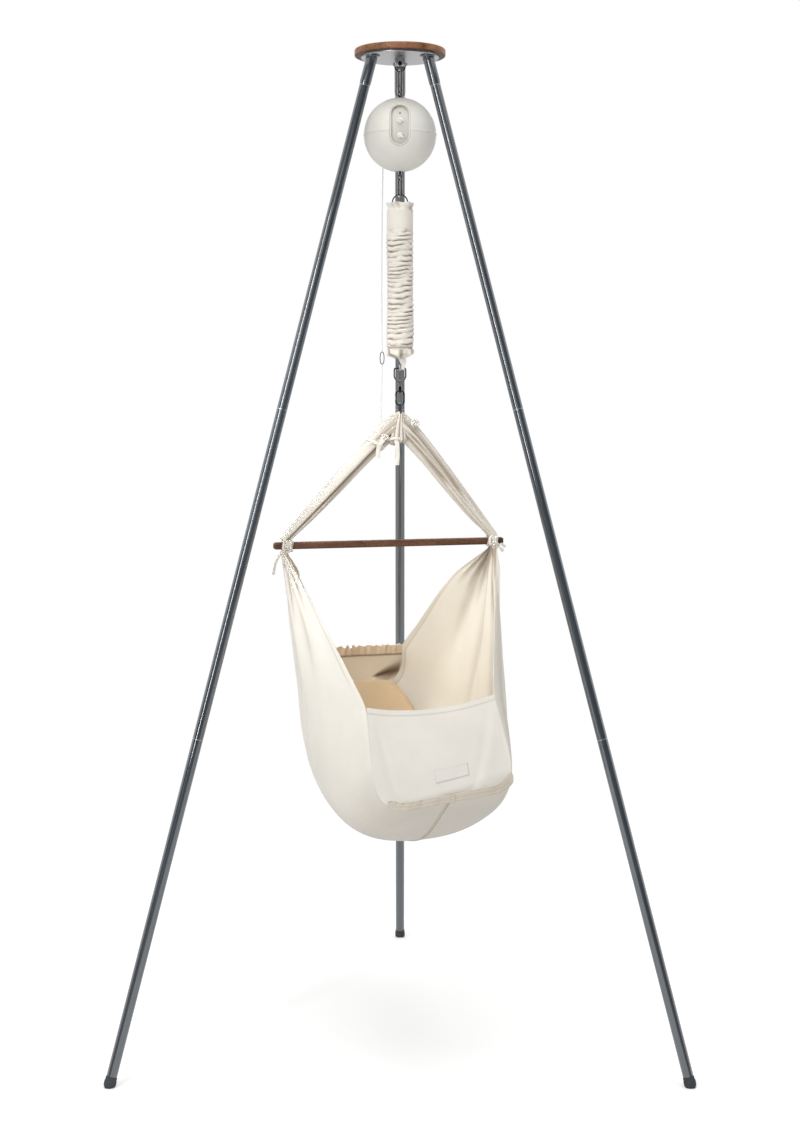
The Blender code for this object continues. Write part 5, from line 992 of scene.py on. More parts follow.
# Painted shade, darkest in the gathers' valleys; the puckers, the crumpled top, the drawstring and the frill's inner
# folds are darkened too.
cover_shade = gathered * np.clip(uneven * 1.1 - 0.1, 0.0, 1.0) * (1.0 - ridge(phase)) ** 1.5
cover_shade = cover_shade + gathered * 0.35 * np.clip(-pucker - 0.25, 0.0, 1.0)
crumple = ripple(5.0 * np.cos(turn) + 60.0 * z, 5.0 * np.sin(turn) - 90.0 * z, 23, 6, 1.0, 2.6)
hem = step(z, COVER_TOP - 0.020, COVER_TOP - 0.012)
radius = radius + hem * 1.6 * MM * crumple
cover_shade = cover_shade + 0.8 * hem * np.clip(-crumple - 0.05, 0.0, 1.0)
frill = 1.5 * MM * np.sin(9 * turn + 3.0 * np.sin(2 * turn)) * step(z, COVER_TOP - 0.012, COVER_TOP)
drawn_top = step(z, COVER_TOP - 0.016, COVER_TOP - 0.011)
drawn_top = drawn_top * (1.0 - step(z, COVER_TOP - 0.010, COVER_TOP - 0.003))
radius = radius - 2.2 * MM * drawn_top + frill
string = np.exp(-((z - DRAWN) / 0.0028) ** 2)
ears = 0.8 * np.sin(6 * turn + 0.8 + 1.2 * np.sin(2 * turn)) + 0.5 * np.sin(11 * turn + 2.0)
skirt = step(DRAWN - 0.001 - z, 0.0, 0.005)
closing = step(COVER_LOW + 0.0075 - z, 0.0, 0.0075)
radius = radius - (2.7 - 0.9 * ears) * MM * string + skirt * (0.2 + 2.1 * ears) * MM * (1.0 - closing)
radius = radius * (1.0 - closing) + closing * (11.0 * MM + 1.6 * MM * ears)
cover_shade = cover_shade + 0.55 * string + 0.7 * skirt * np.clip(-ears, 0.0, 1.0)
z = z + skirt * 2.0 * MM * np.sin(5 * turn + 1.0) + 0.9 * MM * np.sin(6 * turn) * step(z, COVER_TOP - 0.01, COVER_TOP)
cover_shade = np.clip(cover_shade, 0.0, 1.0)
points = np.stack([radius * np.cos(turn), AXIS_Y + radius * np.sin(turn), z + 0 * radius], axis=-1)
cover = piece("spring_cover_gathered", [grid(points, wrap=(False, True), flip=False, painted_shade=cover_shade)], None,
              [sleeve_cotton, lining], ["spring_cover"], sharp=80.0)
normal_check = np.cross(points[1, 0] - points[0, 0], points[0, 1] - points[0, 0]) @ [1.0, 0.0, 0.0]
if normal_check < 0.0:
    cover.data.flip_normals()
thickened(cover, 1.0 * MM, lining=1)
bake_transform(cover)
sleeve_round = 2.0 * math.pi * COVER
sleeve_long = float(np.mean([length_of(points[:, k]) for k in range(0, 144, 12)]))
cloth(cover, flat=(sleeve_round, sleeve_long), held="gathered", rests_on=["spring_coiled"])

# %% [markdown]
# ## The loop under the sleeve
# A folded cotton loop comes out of the sleeve's drawn end, goes round the flat top of the D-ring and
# back up. It is a flat section carried along a path that turns round the ring's wire.

# %% Loop
loop_z = d_top
across = (1.0, 0.0, 0.0)
up_y = 3.4 * MM
flat = np.vstack([[(-5.2 * MM, COVER_LOW + 0.012 - loop_z), (-5.8 * MM, COVER_LOW - 0.004 - loop_z),
                   (-4.4 * MM, 6.0 * MM)],
                  arc((0.0, 0.0), (-1.0, 0.0), (0.0, -1.0), 2.7 * MM, 0.0, 180.0, 9),
                  [(4.4 * MM, 6.0 * MM), (5.8 * MM, COVER_LOW - 0.004 - loop_z),
                   (5.2 * MM, COVER_LOW + 0.012 - loop_z)]])
path = spline(np.stack([np.full(len(flat), 5.9 * MM), AXIS_Y + flat[:, 0], loop_z + flat[:, 1]], 1), 70)
height = path[:, 2] - loop_z
wide = 3.5 * MM + 4.5 * MM * step(height, 3.0 * MM, 22.0 * MM)
path[:, 0] += 1.3 * MM * np.sin(height * 210.0) * step(height, 2.0 * MM, 9.0 * MM)
loop = piece("cover_loop_folded", [carried(path, across, wide, 0.55 * MM, sides=20, power=0.5)],
             "hanger", [cotton], ["cover_loop"], sharp=60.0)
cloth(loop, flat=(16.0 * MM, length_of(path)), held="folded", rests_on=["d_ring_polished"], shaped=True)

# %% [markdown]
# ## The basket's own frame
# The basket hangs turned by 17 degrees. Its places are given along the bar (u), from the foot to
# the head (w), and up (z). Five stations say how wide and how deep it is from foot to head, and a
# smooth curve through them gives every place between. A cross-section is a superellipse: half an
# oval whose roundness grows from nearly square at the foot to a soft U at the head.

# %% Basket formulas
YAW = math.radians(HAMMOCK_YAW)
U_WAY = np.array([math.cos(YAW), math.sin(YAW), 0.0])
W_WAY = np.array([-math.sin(YAW), math.cos(YAW), 0.0])
HAMMOCK_X = (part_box("spreader_bar")[0].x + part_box("spreader_bar")[1].x) / 2.0
BAR_Z = middle_z("spreader_bar")
TIE_PLACE = 0.222
HALF_WIDTHS = (0.131, 0.192, 0.186, 0.158, 0.122)
SHOULDER_HEIGHTS = (0.734, 0.700, 0.690, 0.705, 0.762)
SHOULDER_PLACES = (-0.280, -0.140, 0.0, 0.145, 0.290)
KEEL_HEIGHTS = (0.566, 0.448, 0.428, 0.550, 0.660)
KEEL_PLACES = (-0.385, -0.200, 0.0, 0.160, 0.312)
ROUNDNESS = (6.5, 2.9, 2.3, 2.1, 3.0)
CLOTH = 2.4 * MM


def stations(values, q):
    """A smooth curve through the five stations, read at q from -1 at the foot to 1 at the head."""
    v = np.array(values)
    p = np.concatenate([[2 * v[0] - v[1]], v, [2 * v[-1] - v[-2]]])
    place = np.clip((np.asarray(q, float) + 1.0) * 2.0, 0.0, 4.0)
    k = np.minimum(place.astype(int), 3)
    t = place - k
    a, b, c, d = p[k], p[k + 1], p[k + 2], p[k + 3]
    return b + 0.5 * t * (c - a + t * (2 * a - 5 * b + 4 * c - d + t * (3 * (b - c) + d - a)))


def basket(u, w, z):
    """From the basket's places to the room's, with the foot end lifted a little on its right."""
    fade = np.clip((0.950 - z) / 0.250, 0.0, 1.0)
    share = np.clip((-0.080 - w) / (-0.080 + 0.385), 0.0, 1.2) ** 1.5
    z = z + 0.015 * (u / HALF_WIDTHS[0]) * share * fade
    return (np.array([HAMMOCK_X, AXIS_Y, 0.0]) + np.asarray(u)[..., None] * U_WAY
            + np.asarray(w)[..., None] * W_WAY + np.asarray(z)[..., None] * [0.0, 0.0, 1.0])


def section(q, angle):
    """The half section at q: u = half width cos^(2/n), drop = sin^(2/n) from shoulder to keel."""
    n = stations(ROUNDNESS, q)
    over = np.maximum(np.cos(angle), 0.0) ** (2.0 / n)
    drop = np.maximum(np.sin(angle), 0.0) ** (2.0 / n)
    u = stations(HALF_WIDTHS, q) * over * (1.0 + 0.105 * np.maximum(0.0, -q) ** 3 * drop)
    z = stations(SHOULDER_HEIGHTS, q)
    z = z + (stations(KEEL_HEIGHTS, q) - z) * drop
    w = stations(SHOULDER_PLACES, q)
    w = w + (stations(KEEL_PLACES, q) - w) * drop
    return u, w, z


def even_angle(share, q):
    """Section angles that space points evenly: s^k / (s^k + (1 - s)^k), k half the roundness."""
    k = stations(ROUNDNESS, q) / 2.0
    return 0.5 * np.pi * share ** k / (share ** k + (1.0 - share) ** k)


def normals(points):
    """The unit normal of a grid at each of its points, from its rows' and columns' slopes."""
    return unit(np.cross(np.gradient(points, axis=1), np.gradient(points, axis=0)))


print("middle of the bar, m:", round(HAMMOCK_X, 4), round(BAR_Z, 4))

# %% [markdown]
# ## The spreader bar
# A square walnut rod with rounded corners and eased ends keeps the slings apart. It is a squared
# oval carried along a straight path, which narrows over the last millimetres.

# %% Bar
HALF_BAR = 0.242
along = np.concatenate([[0.0, 0.5, 1.5, 3.0, 5.0], np.linspace(8.0, 476.0, 40),
                        [479.0, 481.0, 482.5, 483.5, 484.0]]) * MM - HALF_BAR
eased = 1.0 - 0.42 * (1.0 - np.clip((HALF_BAR - np.abs(along)) / 5.0e-3, 0.0, 1.0)) ** 2.2
bar_path = basket(along, 0.0 * along, BAR_Z + 0.0 * along)
piece("spreader_bar_oiled", [carried(bar_path, W_WAY, 7.2 * MM * eased, 7.2 * MM * eased, sides=40,
                                     power=0.42)],
      "hammock", [bar_walnut], ["spreader_bar"], sharp=50.0)

# %% [markdown]
# ## The hanging bands
# Two bundles of cloth run from a steel link down to the ends of the bar. The left one is turned
# with its smooth back to the front and shows one deep fold near its lower edge. The right one shows
# many lengthwise folds. Both are tubes whose section is an oval with valleys pressed into it; the
# valleys' places wander down the length, so folds open and close.

# %% Bands
APEX_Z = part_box("apex_link")[0].z + 2.0 * MM
apex = np.array([0.0, AXIS_Y, APEX_Z + 4.0 * MM])
BAND_PLACES = (0.0, 0.04, 0.10, 0.20, 0.35, 0.60, 0.80, 0.92, 1.0)
OVER_LINE = (3.5, 4.0, 6.0, 8.0, 9.5, 10.0, 9.5, 9.0, 9.0)
UNDER_LEFT = (30.0, 42.0, 40.0, 32.0, 26.0, 22.0, 17.0, 12.0, 9.0)
UNDER_RIGHT = (30.0, 44.0, 43.0, 36.0, 30.0, 25.0, 19.0, 12.0, 9.0)
BAND_THICK = (5.0, 9.0, 11.5, 12.5, 12.5, 12.0, 10.0, 9.0, 8.0)


def band_line(side, p):
    """The band's own line: even along the bar's direction, and hanging from the apex in a curve."""
    end = basket(np.array(side * TIE_PLACE), np.array(0.0), np.array(BAR_Z + 9.0 * MM))
    drop = (np.sqrt(p ** 2 + 0.0025) - 0.05) / (math.sqrt(1.0025) - 0.05)
    return apex + (end - apex) * np.stack([p, p, drop], 1)


def measured(places, values, p):
    """Millimetres at places down the band, joined by a smooth curve and read at p."""
    curve = spline(np.stack([np.array(places), np.array(values)], 1), 300)
    return np.interp(p, curve[:, 0], curve[:, 1]) * MM


def band(side, under, valleys, rows=60, columns=64, seed=3):
    """A bundle: section = oval (half tall, half deep) times one minus the sum of its valleys."""
    p = np.linspace(0.0, 1.0, rows) ** 1.25
    line = band_line(side, p)
    over, below = measured(BAND_PLACES, OVER_LINE, p), measured(BAND_PLACES, under, p)
    tall, deep = (over + below) / 2.0, measured(BAND_PLACES, BAND_THICK, p)
    tangent = unit(np.gradient(line, axis=0))
    up = unit(np.cross(tangent, W_WAY) * side)
    line = line + up * ((over - below) / 2.0)[:, None]
    swell = np.sin(np.pi * p)
    a = np.linspace(0.0, 2.0 * np.pi, columns, endpoint=False)[None, :]
    pressed = 0.0
    for place, drift, width, depth, start, stop in valleys:
        centre = place + drift * (p[:, None] - 0.5) + 0.04 * np.sin(9.0 * p[:, None] + 5.0 * place)
        reach = step(p[:, None], start, start + 0.12) * (1.0 - step(p[:, None], stop - 0.12, stop))
        away = np.angle(np.exp(1j * (a - centre)))
        pressed = pressed + 0.65 * depth * reach * np.exp(-(away / (1.7 * width)) ** 2)
    grain = 0.030 * ripple(3.0 * a + 0.0 * p[:, None], 2.2 * p[:, None] + 0.0 * a, seed)
    size = (1.0 - np.clip(pressed, 0.0, 0.75) + grain * swell[:, None])
    points = (line[:, None] + (tall[:, None] * np.cos(a) * size)[..., None] * up[:, None]
              - (deep[:, None] * np.sin(a) * size)[..., None] * W_WAY)
    ends = [np.repeat(points[k].mean(0)[None, None], columns, 1) for k in (0, -1)]
    # Painted shade, darkest where the valleys press in deepest.
    inside = np.clip(pressed * 2.3 - 0.12, 0.0, 1.0)
    inside = np.vstack([inside[:1], inside, inside[-1:]])
    return grid(np.concatenate([ends[0], points, ends[1]]), wrap=(False, True), painted_shade=inside)


left_valleys = [(2.10, -0.20, 0.17, 0.66, 0.04, 1.10), (2.60, 0.10, 0.10, 0.26, -0.1, 0.9),
                (0.75, 0.60, 0.09, 0.20, -0.1, 0.28), (1.10, 0.50, 0.10, 0.30, -0.1, 0.24),
                (1.45, 0.60, 0.11, 0.40, -0.1, 0.32), (1.80, 0.30, 0.10, 0.30, -0.1, 0.30),
                (1.25, 0.45, 0.20, 0.07, 0.20, 0.95), (4.4, 0.3, 0.2, 0.30, 0.0, 1.0),
                (5.4, -0.3, 0.2, 0.20, 0.0, 1.0)]
right_valleys = [(0.48, 0.25, 0.09, 0.24, -0.1, 1.10), (0.88, 0.36, 0.08, 0.30, -0.1, 0.95),
                 (1.22, 0.50, 0.13, 0.58, -0.1, 0.72), (1.55, -0.40, 0.08, 0.34, 0.10, 0.80),
                 (1.88, 0.34, 0.09, 0.28, 0.05, 1.10), (2.20, -0.12, 0.13, 0.54, -0.1, 0.60),
                 (2.56, 0.15, 0.09, 0.30, 0.3, 1.10), (4.2, 0.3, 0.2, 0.28, 0.0, 1.0),
                 (5.1, -0.3, 0.2, 0.25, 0.0, 1.0)]


def bunch(rows=90, columns=150):
    """The cloth's middle, which hangs between the bands like a closed fan: an upright oval that
    widens downwards, with folds of a nearly constant angle, so that they meet at the top."""
    t = np.linspace(0.0, 1.0, rows)[:, None]
    a = np.linspace(0.0, 2.0 * np.pi, columns, endpoint=False)[None, :]
    rounded = np.sqrt(np.clip(1.0 - np.clip((t - 0.86) / 0.14, 0.0, 1.0) ** 2, 0.0, 1.0))
    wide = (5.0 + 16.5 * t ** 0.8) * rounded * step(t, -0.3, 0.08)
    deep = (6.5 + 8.5 * t ** 0.7) * rounded * step(t, -0.3, 0.08)
    folds = ridge(11.0 * a + 1.8 * np.sin(2.0 * a + 1.0) + 1.5 * np.sin(3.0 * t) * np.cos(a + 0.5))
    size = 1.0 - 0.20 * (1.0 - folds) * step(t, 0.0, 0.1)
    x = -6.0 * t + wide * np.cos(a) * size
    w = -2.0 * t + deep * np.sin(a) * size
    z = 3.0 - 66.0 * t + 3.0 * np.sin(a + 2.0) * t
    points = apex + (x[..., None] * U_WAY + w[..., None] * W_WAY + z[..., None] * np.array([0, 0, 1.0])) * MM
    top, bottom = [points[k:k + 1 or None].mean(1, keepdims=True) + 0.0 * points[:1] for k in (0, -1)]
    points = np.concatenate([top, points, bottom])
    # Painted shade in the valleys between its folds near the top.
    dark = 0.95 * (1.0 - folds) ** 1.3 * step(t, 0.02, 0.15) + 0.0 * a
    return grid(points, wrap=(False, True), painted_shade=np.vstack([dark[:1], dark, dark[-1:]]))


band_left = piece("hanging_band_left", [band(-1.0, UNDER_LEFT, left_valleys), bunch()], "hammock",
                  [strap_cotton], ["hanging_band"], sharp=70.0)
band_right = piece("hanging_band_right", [band(1.0, UNDER_RIGHT, right_valleys, seed=9)], "hammock",
                   [strap_cotton], ["hanging_band"], sharp=70.0)
cloth(band_left, flat=(0.065, length_of(band_line(-1.0, np.linspace(0.0, 1.0, 200)))), held="folded")
cloth(band_right, flat=(0.055, length_of(band_line(1.0, np.linspace(0.0, 1.0, 200)))), held="folded")

# %% [markdown]
# ## The slings
# Each side of the basket is one sheet. It is bunched to the width of two fingers at the tie, fans
# out to the basket's shoulder and then curves in under the mattress to the keel seam. Folds start at
# the tie and fade as the cloth spreads. They are valleys along lines of constant place across the
# sheet, pressed in along its normals.

# %% Slings
TIE_Z = BAR_Z - 12.0 * MM


def relaxed(net, passes):
    """Ease a grid down its rows: each pass puts every row at 1/4, 1/2, 1/4 of itself and its
    neighbours, which rounds the kink at the shoulder and leaves the first and last row alone."""
    net = net.copy()
    for _ in range(passes):
        net[1:-1] = 0.25 * net[:-2] + 0.5 * net[1:-1] + 0.25 * net[2:]
    return net


def pinch(drop):
    """How far the foot end's right corner is pulled in, in metres, less and less down the side."""
    return 9.0 * MM * (1.0 - step(drop, 0.0, 0.85))


def sling_net(side, q, rows=(90, 100)):
    """The sling's grid: rows run from the tie to the shoulder in a straight line with the tie's
    folds, then down the section to the keel; columns run from the foot to the head."""
    t = np.linspace(0.0, 1.0, rows[0])[:, None]
    shoulder = section(q, 0.0 * q)
    u = TIE_PLACE + (shoulder[0] - TIE_PLACE) * t
    u = u + 5.0 * MM * np.sin(np.pi * t) * (1.0 - q ** 2) * np.sin(5.0 * np.pi * q + 0.6)
    w = 12.0 * MM * q + (shoulder[1] - 12.0 * MM * q) * t
    z = TIE_Z + (shoulder[2] - TIE_Z) * t
    share = np.linspace(0.0, 1.0, rows[1])[1:, None]
    angle = even_angle(share, q + 0.0 * share)
    cu, cw, cz = section(q + 0.0 * share, angle)
    if side > 0.0:
        corner = step(-q, 0.55, 1.0) ** 1.5
        swell = 6.0 * MM * np.exp(-((q + 0.72) / 0.14) ** 2)
        u = u + (swell - pinch(0.0) * corner) * step(t, 0.0, 1.0)
        cu = cu + (swell - 1.0 * pinch(1.0 - np.cos(angle)) * corner) * (1.0 - step(share, 0.3, 0.9))
        slack = 30.0 * MM * step(q, 0.35, 1.0)
        u = u - slack * step(t, 0.0, 0.26) * (1.0 - 0.72 * step(t, 0.3, 1.0))
        cu = cu - 0.28 * slack * (1.0 - step(share, 0.0, 0.45))
    cu = np.maximum(cu, 0.2 * MM)
    return relaxed(basket(side * np.vstack([u, cu]), np.vstack([w, cw]), np.vstack([z, cz])), 36)


def fans(q, along, lines):
    """Folds that fan out from the tie: each line is (place, drift, width, depth, fade)."""
    total = 0.0
    for place, drift, width, depth, fade in lines:
        middle = place + drift * along
        total = total + depth * np.exp(-((q - middle) / width) ** 2) * (1.0 - step(along, 0.5 * fade, fade))
    return total * step(along, 0.0, 0.10)


def sling(name, side, lines, seed):
    """A sling as a sheet with folds, fine creases and a slightly thicker hem at both edges."""
    q = np.linspace(-1.0, 1.0, 260)[None, :]
    net = sling_net(side, q)
    outward = normals(net) * side
    if (outward[90, 130] @ U_WAY) * side < 0.0:
        outward = -outward
    along = np.concatenate([np.zeros((1, net.shape[1])),
                            np.cumsum(np.linalg.norm(np.diff(net, axis=0), axis=2), 0)])
    share = along / along[-1:]
    folds = fans(q, share, lines)
    near_tie = 1.0 - step(share, 0.02, 0.24)
    pleat = np.sin(11.0 * np.pi * q + 1.0 + 1.5 * np.sin(3.0 * q))
    bunch = 4.2 * MM * pleat * near_tie
    crease = 1.5 * MM * ripple(10.0 * q + 0.0 * share, 3.5 * share, seed) * step(share, 0.15, 0.5)
    keep = step(1.0 - np.abs(q), 0.0, 0.03) * (1.0 - step(share, 0.93, 0.99))
    hem = 0.5 * MM * step(np.abs(q), 0.945, 0.953)
    points = net + outward * ((folds + bunch + crease) * keep + hem)[..., None]
    if side < 0.0:
        turned_in = step(q, 0.45, 0.92) * np.exp(-((share - 0.15) / 0.12) ** 2) * step(share, 0.0, 0.05)
        points = points + (27.0 * MM * turned_in)[..., None] * U_WAY
    # Painted shade through the shade attribute: in the pleats' valleys near the tie, in the folds, over the
    # underside, in a strip along the right sling's head edge, and along the hems.
    hem_line = np.exp(-((np.abs(q) - 0.945) / 0.006) ** 2)
    pale = 1.0 - 0.7 * step(q, 0.35, 0.7) * (side < 0.0)
    deep = (0.75 * pale * near_tie * np.clip(-pleat * 1.4 - 0.25, 0.0, 1.0) * step(share, 0.0, 0.01)
            + np.clip(side * folds / (16.0 * MM), 0.0, 0.24) + 0.24 * step(share, 0.68, 0.86)
            + 0.14 * (side > 0.0) * step(q, 0.945, 0.953) * step(share, 0.05, 0.15)
            + 0.35 * hem_line * step(share, 0.1, 0.2) * (1.0 - step(share, 0.40, 0.50) * (q < 0.0)))
    part = grid(points, wrap=(False, False), flip=False, painted_shade=np.clip(deep, 0.0, 1.0))
    obj = piece(name, [part], "hammock", [cotton, lining], [name[:-6]], sharp=80.0)
    face = np.cross(points[101, 130] - points[100, 130], points[100, 131] - points[100, 130])
    if face @ outward[100, 130] < 0.0:
        obj.data.flip_normals()
    thickened(obj, 1.2 * MM, lining=1)
    tie_to_keel = max(length_of(net[:, k]) for k in range(0, net.shape[1], 10))
    foot_to_head = max(length_of(each) for each in net)
    cloth(obj, flat=(tie_to_keel, foot_to_head), held="hung", shaped=True)
    return obj


left_lines = [(-0.55, -0.10, 0.07, -3.0 * MM, 0.40), (-0.1, 0.1, 0.10, -4.0 * MM, 0.5),
              (0.35, 0.1, 0.10, -4.0 * MM, 0.5), (0.75, 0.0, 0.08, -4.0 * MM, 0.6)]
right_lines = [(-0.86, 0.06, 0.045, 6.0 * MM, 0.85), (-0.70, 0.10, 0.035, -5.0 * MM, 0.90),
               (-0.57, 0.12, 0.038, 5.0 * MM, 0.92), (-0.43, 0.14, 0.034, -4.5 * MM, 0.85),
               (-0.28, 0.14, 0.042, 4.5 * MM, 0.86), (-0.10, 0.12, 0.038, -3.5 * MM, 0.75),
               (0.08, 0.10, 0.045, 3.5 * MM, 0.70), (0.30, 0.08, 0.05, -3.0 * MM, 0.55),
               (0.52, 0.04, 0.05, 3.0 * MM, 0.50)]
sling_left = sling("sling_left_cloth", -1.0, left_lines, 21)
sling_right = sling("sling_right_cloth", 1.0, right_lines, 33)

# %% [markdown]
# ## The foot and head panels
# The two ends are closed by panels sewn to the slings. The foot panel bulges outwards and sags along
# its top, and its cloth is drawn into slack diagonal creases. The head panel ends in a hem with an
# elastic in it, which ruffles its edge.

# %% End panels
def end_net(end, rows, columns, sag=16.0 * MM, bulge=8.0 * MM):
    """The end panel's grid: a (-1 to 1) runs over the section's width at each depth."""
    q = np.array(end, float)
    n = stations(ROUNDNESS, q)
    down = np.linspace(0.0, 1.0, rows)[:, None]
    a = np.linspace(-1.0, 1.0, columns)[None, :]
    reach = stations(HALF_WIDTHS, q) * (1.0 - down ** n) ** (1.0 / n)
    reach = reach * (1.0 + 0.105 * max(0.0, -end) ** 3 * down) - 0.4 * MM
    pulled = pinch(1.0 - np.sqrt(1.0 - down ** (2.0 * n / 2.0))) * step(a, 0.0, 1.0) if end < 0.0 else 0.0
    top_z, top_w = stations(SHOULDER_HEIGHTS, q), stations(SHOULDER_PLACES, q)
    tall, lean = top_z - stations(KEEL_HEIGHTS, q), stations(KEEL_PLACES, q) - top_w
    w = top_w + lean * down + end * (0.9 * MM + bulge * (1.0 - a ** 2) * np.sin(np.pi * down))
    z = top_z - tall * down - sag * (1.0 - a ** 2) * (1.0 - down)
    return basket(a * reach - pulled, w + 0.0 * a, z), a, down


def panel(name, end, relief, finishes, hem=0.0, rows=90, columns=220):
    """A panel pressed out along its normals by a relief worked out from its a and its depth. Above
    the depth 'hem' it has finishes of its own: outside and inside of the hem, then of the rest."""
    net, a, down = end_net(end, rows, columns, sag=(1.0 if hem else 16.0) * MM)
    if hem:
        frilled = np.sin(34.0 * a + 3.0 * np.sin(5.0 * a)) + 0.6 * np.sin(57.0 * a + 1.0)
        net[..., 2] += 1.3 * MM * frilled * (1.0 - step(down, 0.0, 0.20)) * (1.0 - step(np.abs(a), 0.85, 0.97))
    outward = normals(net)
    if (outward[rows // 2, columns // 2] @ W_WAY) * end < 0.0:
        outward = -outward
    keep = step(1.0 - np.abs(a), 0.0, 0.05) * (1.0 - step(down, 0.95, 1.0))
    points = net + outward * (relief(a, down) * keep)[..., None]
    k, m = int(hem * rows), columns // 2
    # Painted shade along a line at the head panel's hem, a faint one near the foot panel's top edge, and in the head
    # panel's tucked pocket.
    line = np.exp(-((down - (hem or 0.055)) / (0.02 if hem else 0.007)) ** 2) * (1.0 if hem else 0.35)
    line = line + 1.2 * tucked(a, down) * (hem > 0.0)
    parts = [grid(points[k:], wrap=(False, False), flip=False, material=2, painted_shade=0.8 * line[k:])]
    if k:
        parts.append(grid(points[:k + 1], wrap=(False, False), flip=False, painted_shade=0.8 * line[:k + 1]))
    obj = piece(name, parts, "hammock", finishes, [name[:-6]], sharp=80.0)
    k = rows // 2
    face = np.cross(points[k + 1, m] - points[k, m], points[k, m + 1] - points[k, m])
    if face @ outward[k, m] < 0.0:
        obj.data.flip_normals()
    thickened(obj, 1.2 * MM, lining=1)
    return obj, points


def tucked(a, down):
    """Where the head panel's cloth is tucked in behind the mattress, a pocket on its right that is pressed in and
    darkened with painted shade.
    """
    middle, half = 0.66 - 0.20 * (a - 0.75), 0.02 + 0.16 * step(a, 0.45, 0.95)
    return step(a, 0.45, 0.62) * np.exp(-((down - middle) / half) ** 2)


def foot_relief(a, down):
    """Slack diagonal creases: valleys along slanted lines, and a soft unevenness."""
    line = a - 1.00 + 0.62 * down
    right = 1.1 * MM * np.exp(-((line - 0.06) / 0.11) ** 2) - 1.4 * MM * np.exp(-((line + 0.05) / 0.08) ** 2)
    left = -1.8 * MM * np.exp(-((a + 0.88 - 0.16 * down) / 0.06) ** 2)
    low = 1.2 * MM * np.exp(-((down - 0.90 + 0.10 * a) / 0.05) ** 2)
    slack = 1.4 * MM * ripple(2.2 * a, 2.2 * down, 4) + 0.5 * MM * ripple(6.0 * a, 4.0 * down, 17)
    return (right + left) * step(down, 0.05, 0.35) + low + slack


def head_relief(a, down):
    """The elastic's ruffles at the top edge and a few slack folds under it."""
    edge = 1.0 - step(down, 0.04, 0.26)
    ruffle = np.sin(40.0 * a + 3.0 * np.sin(5.0 * a)) + 0.5 * np.sin(67.0 * a + 1.0)
    return edge * 2.0 * MM * ruffle + 2.0 * MM * ripple(3 * a, 3 * down, 6) + 7.0 * MM * tucked(a, down)


def panel_size(points):
    """A panel's widest row and its height along its middle, in metres."""
    return max(length_of(each) for each in points), length_of(points[:, points.shape[1] // 2])


hem_lining = woven("head end hem", (0.92, 0.80, 0.65), (0.95, 0.84, 0.69), through=0.55)
foot_panel, foot_points = panel("foot_panel_cloth", -1.0, foot_relief, [foot_cotton, lining] * 2)
head_panel, head_points = panel("head_panel_cloth", 1.0, head_relief,
                                [head_outside, hem_lining, head_outside, head_lining], hem=0.22)
cloth(foot_panel, flat=panel_size(foot_points), held="stretched")
cloth(head_panel, flat=panel_size(head_points), held="stretched", shaped=True)

# %% [markdown]
# ## Tape, seam and patch
# A ribbed tape is sewn along the foot panel's lower edge with two rows of stitches, and a short tab
# covers the place where the keel seam meets it. A plain patch sits low on the panel. Each stitch is
# a small six-sided capsule; one row is one mesh, because a stitch is only a few dozen faces.

# %% Stitches and trimmings
def stitch_row(path, out, pitch, length, radius, material=0):
    """Stitches along a path: capsules of a length at a pitch, each lying along the path."""
    total = np.linalg.norm(np.diff(path, axis=0), axis=1).sum()
    even = evenly(np.hstack([path, np.broadcast_to(out, path.shape)]), max(2, int(total / pitch)))
    middle, away = even[:, :3], unit(even[:, 3:])
    way = unit(np.gradient(middle, axis=0))
    side = np.cross(way, away)
    along = np.array([-0.5, -0.5, -0.3, 0.3, 0.5, 0.5]) * length
    size = np.array([0.0, 0.6, 1.0, 1.0, 0.6, 0.0]) * radius
    t = np.linspace(0.0, 2.0 * np.pi, 6, endpoint=False)
    ring = (np.cos(t)[:, None] * side[:, None, None] + np.sin(t)[:, None] * away[:, None, None])
    points = (middle[:, None, None] + along[:, None, None] * way[:, None, None]
              + size[:, None, None] * ring)
    return [grid(each, wrap=(False, True), material=material) for each in points]


def on_net(points, row, column):
    """A place on a grid of points between its rows and columns, worked out by blending the four
    nearest points."""
    row = np.clip(row, 0.0, points.shape[0] - 1.001)
    column = np.clip(column, 0.0, points.shape[1] - 1.001)
    i, j = row.astype(int), column.astype(int)
    r, c = (row - i)[..., None], (column - j)[..., None]
    return ((points[i, j] * (1 - c) + points[i, j + 1] * c) * (1 - r)
            + (points[i + 1, j] * (1 - c) + points[i + 1, j + 1] * c) * r)


foot_rows, foot_columns = foot_points.shape[:2]
foot_out = normals(foot_points)
if foot_out[45, 110] @ W_WAY > 0.0:
    foot_out = -foot_out
left_turn, right_turn = np.radians(np.linspace(50.0, 90.0, 60)), np.radians(np.linspace(90.0, 37.0, 90))
one = -np.ones(150)
edge_u, edge_w, edge_z = section(one, np.concatenate([left_turn, right_turn]))
edge_u = edge_u * np.concatenate([-np.ones(60), np.ones(90)])
edge = evenly(basket(edge_u, edge_w, edge_z), 150)
middle_of_panel = foot_points[foot_rows // 2, foot_columns // 2]
inward = unit(middle_of_panel - edge)
inward = unit(inward - (inward @ W_WAY)[:, None] * W_WAY)
s = np.linspace(0.0, 1.0, 150)
taper = np.minimum(1.0, np.minimum(s / 0.04, (1.0 - s) / 0.06)) ** 0.5
wavy = 0.25 * MM * np.sin(95.0 * s) + 0.4 * MM * np.sin(41.0 * s + 1.0)
curl = step(-s, -0.10, 0.0)
far_end = step(s, 0.78, 1.0)
